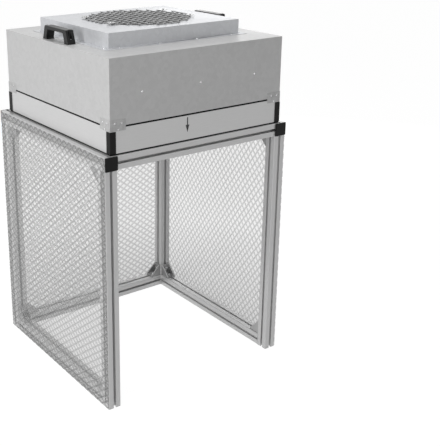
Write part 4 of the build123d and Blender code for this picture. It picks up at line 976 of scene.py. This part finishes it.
def screw_template(name, head_radius, head_height, shank_radius, shank_length):
    """Pan-head screw, local Z out of its seat, with a cross recess cut in the head."""
    profile = [
        (shank_radius * 0.6, -shank_length),
        (shank_radius, -shank_length * 0.9),
        (shank_radius, 0.0),
        (head_radius, 0.0),
        (head_radius, head_height * 0.35),
        (head_radius * 0.93, head_height * 0.68),
        (head_radius * 0.74, head_height * 0.90),
        (head_radius * 0.42, head_height * 0.99),
        (head_radius * 0.10, head_height),
    ]
    screw = object_from(turned_head(profile, SCREW_SIDES), name)
    recess = object_from(cross_recess(head_height), f"{name}_recess")
    cut = screw.modifiers.new("recess", "BOOLEAN")
    cut.object = recess
    cut.operation = "DIFFERENCE"
    cut.solver = "EXACT"
    cut.use_self = True
    made_plain(screw)
    bpy.data.objects.remove(recess)
    return screw


def rivet_template(name, head_radius, head_height, shank_radius, shank_length):
    """Blind rivet: a low dome with the pin's pit in the middle."""
    profile = [
        (shank_radius, -shank_length),
        (shank_radius, 0.0),
        (head_radius, 0.0),
        (head_radius * 0.98, head_height * 0.25),
        (head_radius * 0.84, head_height * 0.62),
        (head_radius * 0.60, head_height * 0.90),
        (head_radius * 0.36, head_height),
        (head_radius * 0.30, head_height * 0.62),
    ]
    return object_from(turned_head(profile, SCREW_SIDES), name)


def fastener_tree():
    """Copies of one fastener on spots, each along its spot's facing and turned at random."""
    tree, entry, result = geometry_tree(
        "fasteners_on_spots",
        [
            ("Geometry", "Geometry", None),
            ("Fastener", "Object", None),
            ("Seed", "Int", 4),
            ("Material", "Material", None),
        ],
    )
    given = entry.outputs
    facing = geometry_node(tree, "GeometryNodeInputNamedAttribute", data_type="FLOAT_VECTOR")
    feed(tree, facing, Name="facing")
    aim = geometry_node(tree, "FunctionNodeAlignRotationToVector", axis="Z")
    feed(tree, aim, Vector=facing.outputs["Attribute"])
    shape = geometry_node(tree, "GeometryNodeObjectInfo")
    feed(tree, shape, Object=given["Fastener"], As_Instance=True)
    copies = geometry_node(tree, "GeometryNodeInstanceOnPoints")
    feed(
        tree,
        copies,
        Points=given["Geometry"],
        Instance=shape.outputs["Geometry"],
        Rotation=aim.outputs["Rotation"],
    )
    chance = geometry_node(tree, "FunctionNodeRandomValue", data_type="FLOAT")
    tree.links.new(given["Seed"], chance.inputs["Seed"])
    chance.inputs[2].default_value = 0.0
    chance.inputs[3].default_value = math.pi
    spun = geometry_node(tree, "GeometryNodeRotateInstances")
    turn = vector_of(tree, z=chance.outputs[1])
    feed(tree, spun, Instances=copies.outputs["Instances"], Rotation=turn, Local_Space=True)
    finish_tree(tree, spun.outputs["Instances"], given["Material"], result)
    return tree


def islands(name):
    """Corner points of each separate solid in a node."""
    work = welded(name)
    left = set(work.verts)
    groups = []
    while left:
        front = [left.pop()]
        group = []
        while front:
            vertex = front.pop()
            group.append(vertex.co.copy())
            for edge in vertex.link_edges:
                other = edge.other_vert(vertex)
                if other in left:
                    left.remove(other)
                    front.append(other)
        groups.append(group)
    work.free()
    return groups


def fastener_spots(name, head_height, upright=False):
    """Seats and directions of a node's fasteners: the head is the wide end of each solid."""
    spots = []
    for group in islands(name):
        low = Vector([min(point[axis] for point in group) for axis in range(3)])
        high = Vector([max(point[axis] for point in group) for axis in range(3)])
        size = high - low
        axis = 2 if upright else max(range(3), key=lambda k: size[k])
        others = [k for k in range(3) if k != axis]
        middle = (low + high) / 2
        widest = max(size[k] for k in others) / 2
        wide = [
            point[axis]
            for point in group
            if max(abs(point[k] - middle[k]) for k in others) > widest * 0.9
        ]
        sign = 1.0 if sum(wide) / len(wide) > middle[axis] else -1.0
        facing = Vector((0.0, 0.0, 0.0))
        facing[axis] = sign
        seat = middle.copy()
        seat[axis] = (high if sign > 0 else low)[axis] - sign * head_height
        spots.append((seat, facing))
    return spots


def fastened(name, spots, template, seed, material, *replaced):
    """One piece of many equal fasteners."""
    base = bpy.data.meshes.new(f"{name}_spots")
    base.from_pydata([seat for seat, facing in spots], [], [])
    layer = base.attributes.new("facing", "FLOAT_VECTOR", "POINT")
    for k, (seat, facing) in enumerate(spots):
        layer.data[k].vector = facing
    piece = grown(name, FASTENERS, base, Fastener=template, Seed=seed, Material=material)
    smooth_shaded(piece)
    stands_for(piece, None, *replaced)
    return piece


FASTENERS = fastener_tree()
sheet_screw = screw_template(
    "sheet_screw", SHEET_SCREW_HEAD, SHEET_SCREW_RISE, SHEET_SCREW_SHANK, SHEET_SCREW_LENGTH
)
for k, name in enumerate(("clip_screws", "inlet_box_screws", "rotor_screws")):
    screw_spots = fastener_spots(name, SHEET_SCREW_RISE)
    fastened(f"{name}_pan_heads", screw_spots, sheet_screw, k, BRIGHT_ZINC, name)
rivet = rivet_template("blind_rivet", RIVET_HEAD, RIVET_RISE, RIVET_SHANK, RIVET_LENGTH)
rivet_spots = fastener_spots("deck_rivets", RIVET_RISE)
fastened("deck_rivet_domes", rivet_spots, rivet, RIVET_SEED, BRIGHT_ZINC, "deck_rivets")


def guard_fixings():
    """Washers and pan-head screws that hold the wire guard down."""
    template = screw_template(
        "guard_screw", GUARD_SCREW_HEAD, GUARD_SCREW_RISE, GUARD_SCREW_SHANK, GUARD_SCREW_LENGTH
    )
    washer = turned_head(
        [
            (GUARD_WASHER, 0.0),
            (GUARD_WASHER, WASHER_THICKNESS * 0.75),
            (GUARD_WASHER - WASHER_THICKNESS * 0.3, WASHER_THICKNESS),
            (GUARD_SCREW_HEAD * 0.6, WASHER_THICKNESS),
        ],
        WASHER_SIDES,
    )
    washer.from_mesh(template.data)
    bmesh.ops.translate(
        washer, verts=washer.verts[-len(template.data.vertices):], vec=(0.0, 0.0, WASHER_THICKNESS)
    )
    washer.to_mesh(template.data)
    washer.free()
    rise = GUARD_SCREW_RISE + WASHER_THICKNESS
    spots = fastener_spots("guard_screws", rise, upright=True)
    fastened("guard_washers_and_screws", spots, template, GUARD_SEED, DULL_ZINC, "guard_screws")
    bpy.data.objects.remove(template)


guard_fixings()
bpy.data.objects.remove(sheet_screw)
bpy.data.objects.remove(rivet)


# ------------------------ airflow arrow on the band
def airflow_arrow():
    """A thin printed arrow that points down, the way the air leaves."""
    front = filter_front
    middle = (ARROW_TOP + ARROW_BOTTOM) / 2
    outline = [
        (-ARROW_STEM / 2, ARROW_TOP),
        (ARROW_STEM / 2, ARROW_TOP),
        (ARROW_STEM / 2, middle),
        (ARROW_HEAD / 2, middle),
        (0.0, ARROW_BOTTOM),
        (-ARROW_HEAD / 2, middle),
        (-ARROW_STEM / 2, middle),
    ]
    work = bmesh.new()
    back = [work.verts.new((ARROW_X + x, front, z)) for x, z in outline]
    face = [work.verts.new((ARROW_X + x, front - PRINT_THICKNESS, z)) for x, z in outline]
    work.faces.new(back)
    work.faces.new(list(reversed(face)))
    for k in range(len(outline)):
        n = (k + 1) % len(outline)
        work.faces.new((back[k], face[k], face[n], back[n]))
    bmesh.ops.recalc_face_normals(work, faces=work.faces)
    arrow = object_from(work, "airflow_arrow")
    arrow.data.materials.append(PRINT_BLACK)
    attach(arrow, body_of_node["filter_frame"])


airflow_arrow()


# ------------------------ floor, backdrop, lamps, camera
FLOOR_HALF = 12.0


def seen_by_eye(tree):
    """The light path node, and 1 for rays that see a surface rather than light it."""
    rays = tree.nodes.new("ShaderNodeLightPath")
    looks = rays.outputs
    seen = reckon(tree, "MAXIMUM", looks["Is Camera Ray"], looks["Is Transmission Ray"])
    return rays, reckon(tree, "MAXIMUM", seen, looks["Is Glossy Ray"])


def add_floor():
    """Pale floor: white to the camera, greyer close by where it is seen through a sheet: a painted
    shade, the glow dropped there so the floor's own lit shading shows.
    """
    mesh = bpy.data.meshes.new("floor")
    corners = [(x_sign * FLOOR_HALF, y_sign * FLOOR_HALF, 0) for x_sign, y_sign in CORNER_SIGNS]
    mesh.from_pydata(corners, [], [(0, 1, 2, 3)])
    floor = new_object("floor", mesh)
    material = bpy.data.materials.new("floor_white")
    material.use_nodes = True
    tree = material.node_tree
    surface = tree.nodes["Principled BSDF"]
    surface.inputs["Base Color"].default_value = (0.85, 0.85, 0.85, 1.0)
    surface.inputs["Roughness"].default_value = 0.9
    glow = tree.nodes.new("ShaderNodeEmission")
    glow.inputs["Strength"].default_value = FLOOR_GLOW
    rays, seen = seen_by_eye(tree)
    mix = tree.nodes.new("ShaderNodeMixShader")
    reach = tree.nodes.new("ShaderNodeVectorMath")
    reach.operation = "LENGTH"
    link(tree, object_place(tree), reach.inputs[0])
    distance = reach.outputs["Value"]
    # painted shade: the glow share drops near the object where the floor is seen through a sheet
    near = remap(tree, distance, FLOOR_SHADE_NEAR, FLOOR_SHADE_FAR, FLOOR_SHADE_SHARE, 0.0)
    behind = remap(tree, rays.outputs["Transparent Depth"], 0.0, 2.0, 0.0, 1.0)
    white = reckon(tree, "SUBTRACT", FLOOR_WHITE_SHARE, reckon(tree, "MULTIPLY", near, behind))
    link(tree, reckon(tree, "MULTIPLY", seen, white), mix.inputs["Fac"])
    link(tree, surface.outputs["BSDF"], mix.inputs[1])
    link(tree, glow.outputs["Emission"], mix.inputs[2])
    link(tree, mix.outputs["Shader"], tree.nodes["Material Output"].inputs["Surface"])
    mesh.materials.append(material)


def set_world(light_level):
    """White to the camera and in reflections, a plain grey level as light."""
    world = bpy.data.worlds.new("studio")
    bpy.context.scene.world = world
    world.use_nodes = True
    tree = world.node_tree
    background = tree.nodes["Background"]
    background.inputs["Color"].default_value = (1.0, 1.0, 1.0, 1.0)
    rays, seen = seen_by_eye(tree)
    link(tree, remap(tree, seen, 0.0, 1.0, light_level, 1.0), background.inputs["Strength"])


def add_lamp(name, place, aim, size, power):
    """Soft square lamp that looks at a point; its side in metres, its power in watts."""
    lamp = bpy.data.lights.new(name, "AREA")
    lamp.shape = "SQUARE"
    lamp.size = size
    lamp.energy = power
    holder = bpy.data.objects.new(name, lamp)
    bpy.context.collection.objects.link(holder)
    holder.location = place
    holder.rotation_euler = (Vector(aim) - Vector(place)).to_track_quat("-Z", "Y").to_euler()


CAMERA_PLACE = Vector((-1.4518, -2.1522, 1.4547))
CAMERA_TURN = 0.5943
CAMERA_DIP = 0.3159
CAMERA_ROLL = -0.0059
CAMERA_LENS = 68.03
CAMERA_SHIFT = (0.1796, -0.1233)
CAMERA_SENSOR = 36.0


def add_camera():
    """Camera at the working side's left corner, looking slightly down."""
    ahead = Vector(
        (
            math.sin(CAMERA_TURN) * math.cos(CAMERA_DIP),
            math.cos(CAMERA_TURN) * math.cos(CAMERA_DIP),
            -math.sin(CAMERA_DIP),
        )
    )
    level = Vector((math.cos(CAMERA_TURN), -math.sin(CAMERA_TURN), 0.0))
    upward = level.cross(ahead)
    right = math.cos(CAMERA_ROLL) * level + math.sin(CAMERA_ROLL) * upward
    top = math.cos(CAMERA_ROLL) * upward - math.sin(CAMERA_ROLL) * level
    data = bpy.data.cameras.new("camera")
    data.lens = CAMERA_LENS
    data.sensor_width = CAMERA_SENSOR
    data.sensor_fit = "AUTO"
    data.shift_x, data.shift_y = CAMERA_SHIFT
    camera = bpy.data.objects.new("camera", data)
    bpy.context.collection.objects.link(camera)
    turned = Matrix((right, top, -ahead)).transposed().to_4x4()
    camera.matrix_world = Matrix.Translation(CAMERA_PLACE) @ turned
    bpy.context.scene.camera = camera


add_floor()
set_world(WORLD_LIGHT)
add_lamp("key_left", place=(-2.8, -0.55, 1.6), aim=(0.0, 0.0, 0.6), size=1.8, power=45.0)
add_lamp("top_soft", place=(0.0, 0.0, 3.2), aim=(0.0, 0.0, 0.8), size=2.2, power=32.0)
add_lamp("fill_rear", place=(2.3, 1.9, 1.0), aim=(0.0, 0.0, 0.5), size=1.8, power=13.0)
add_camera()
bpy.context.scene.view_settings.view_transform = "Standard"
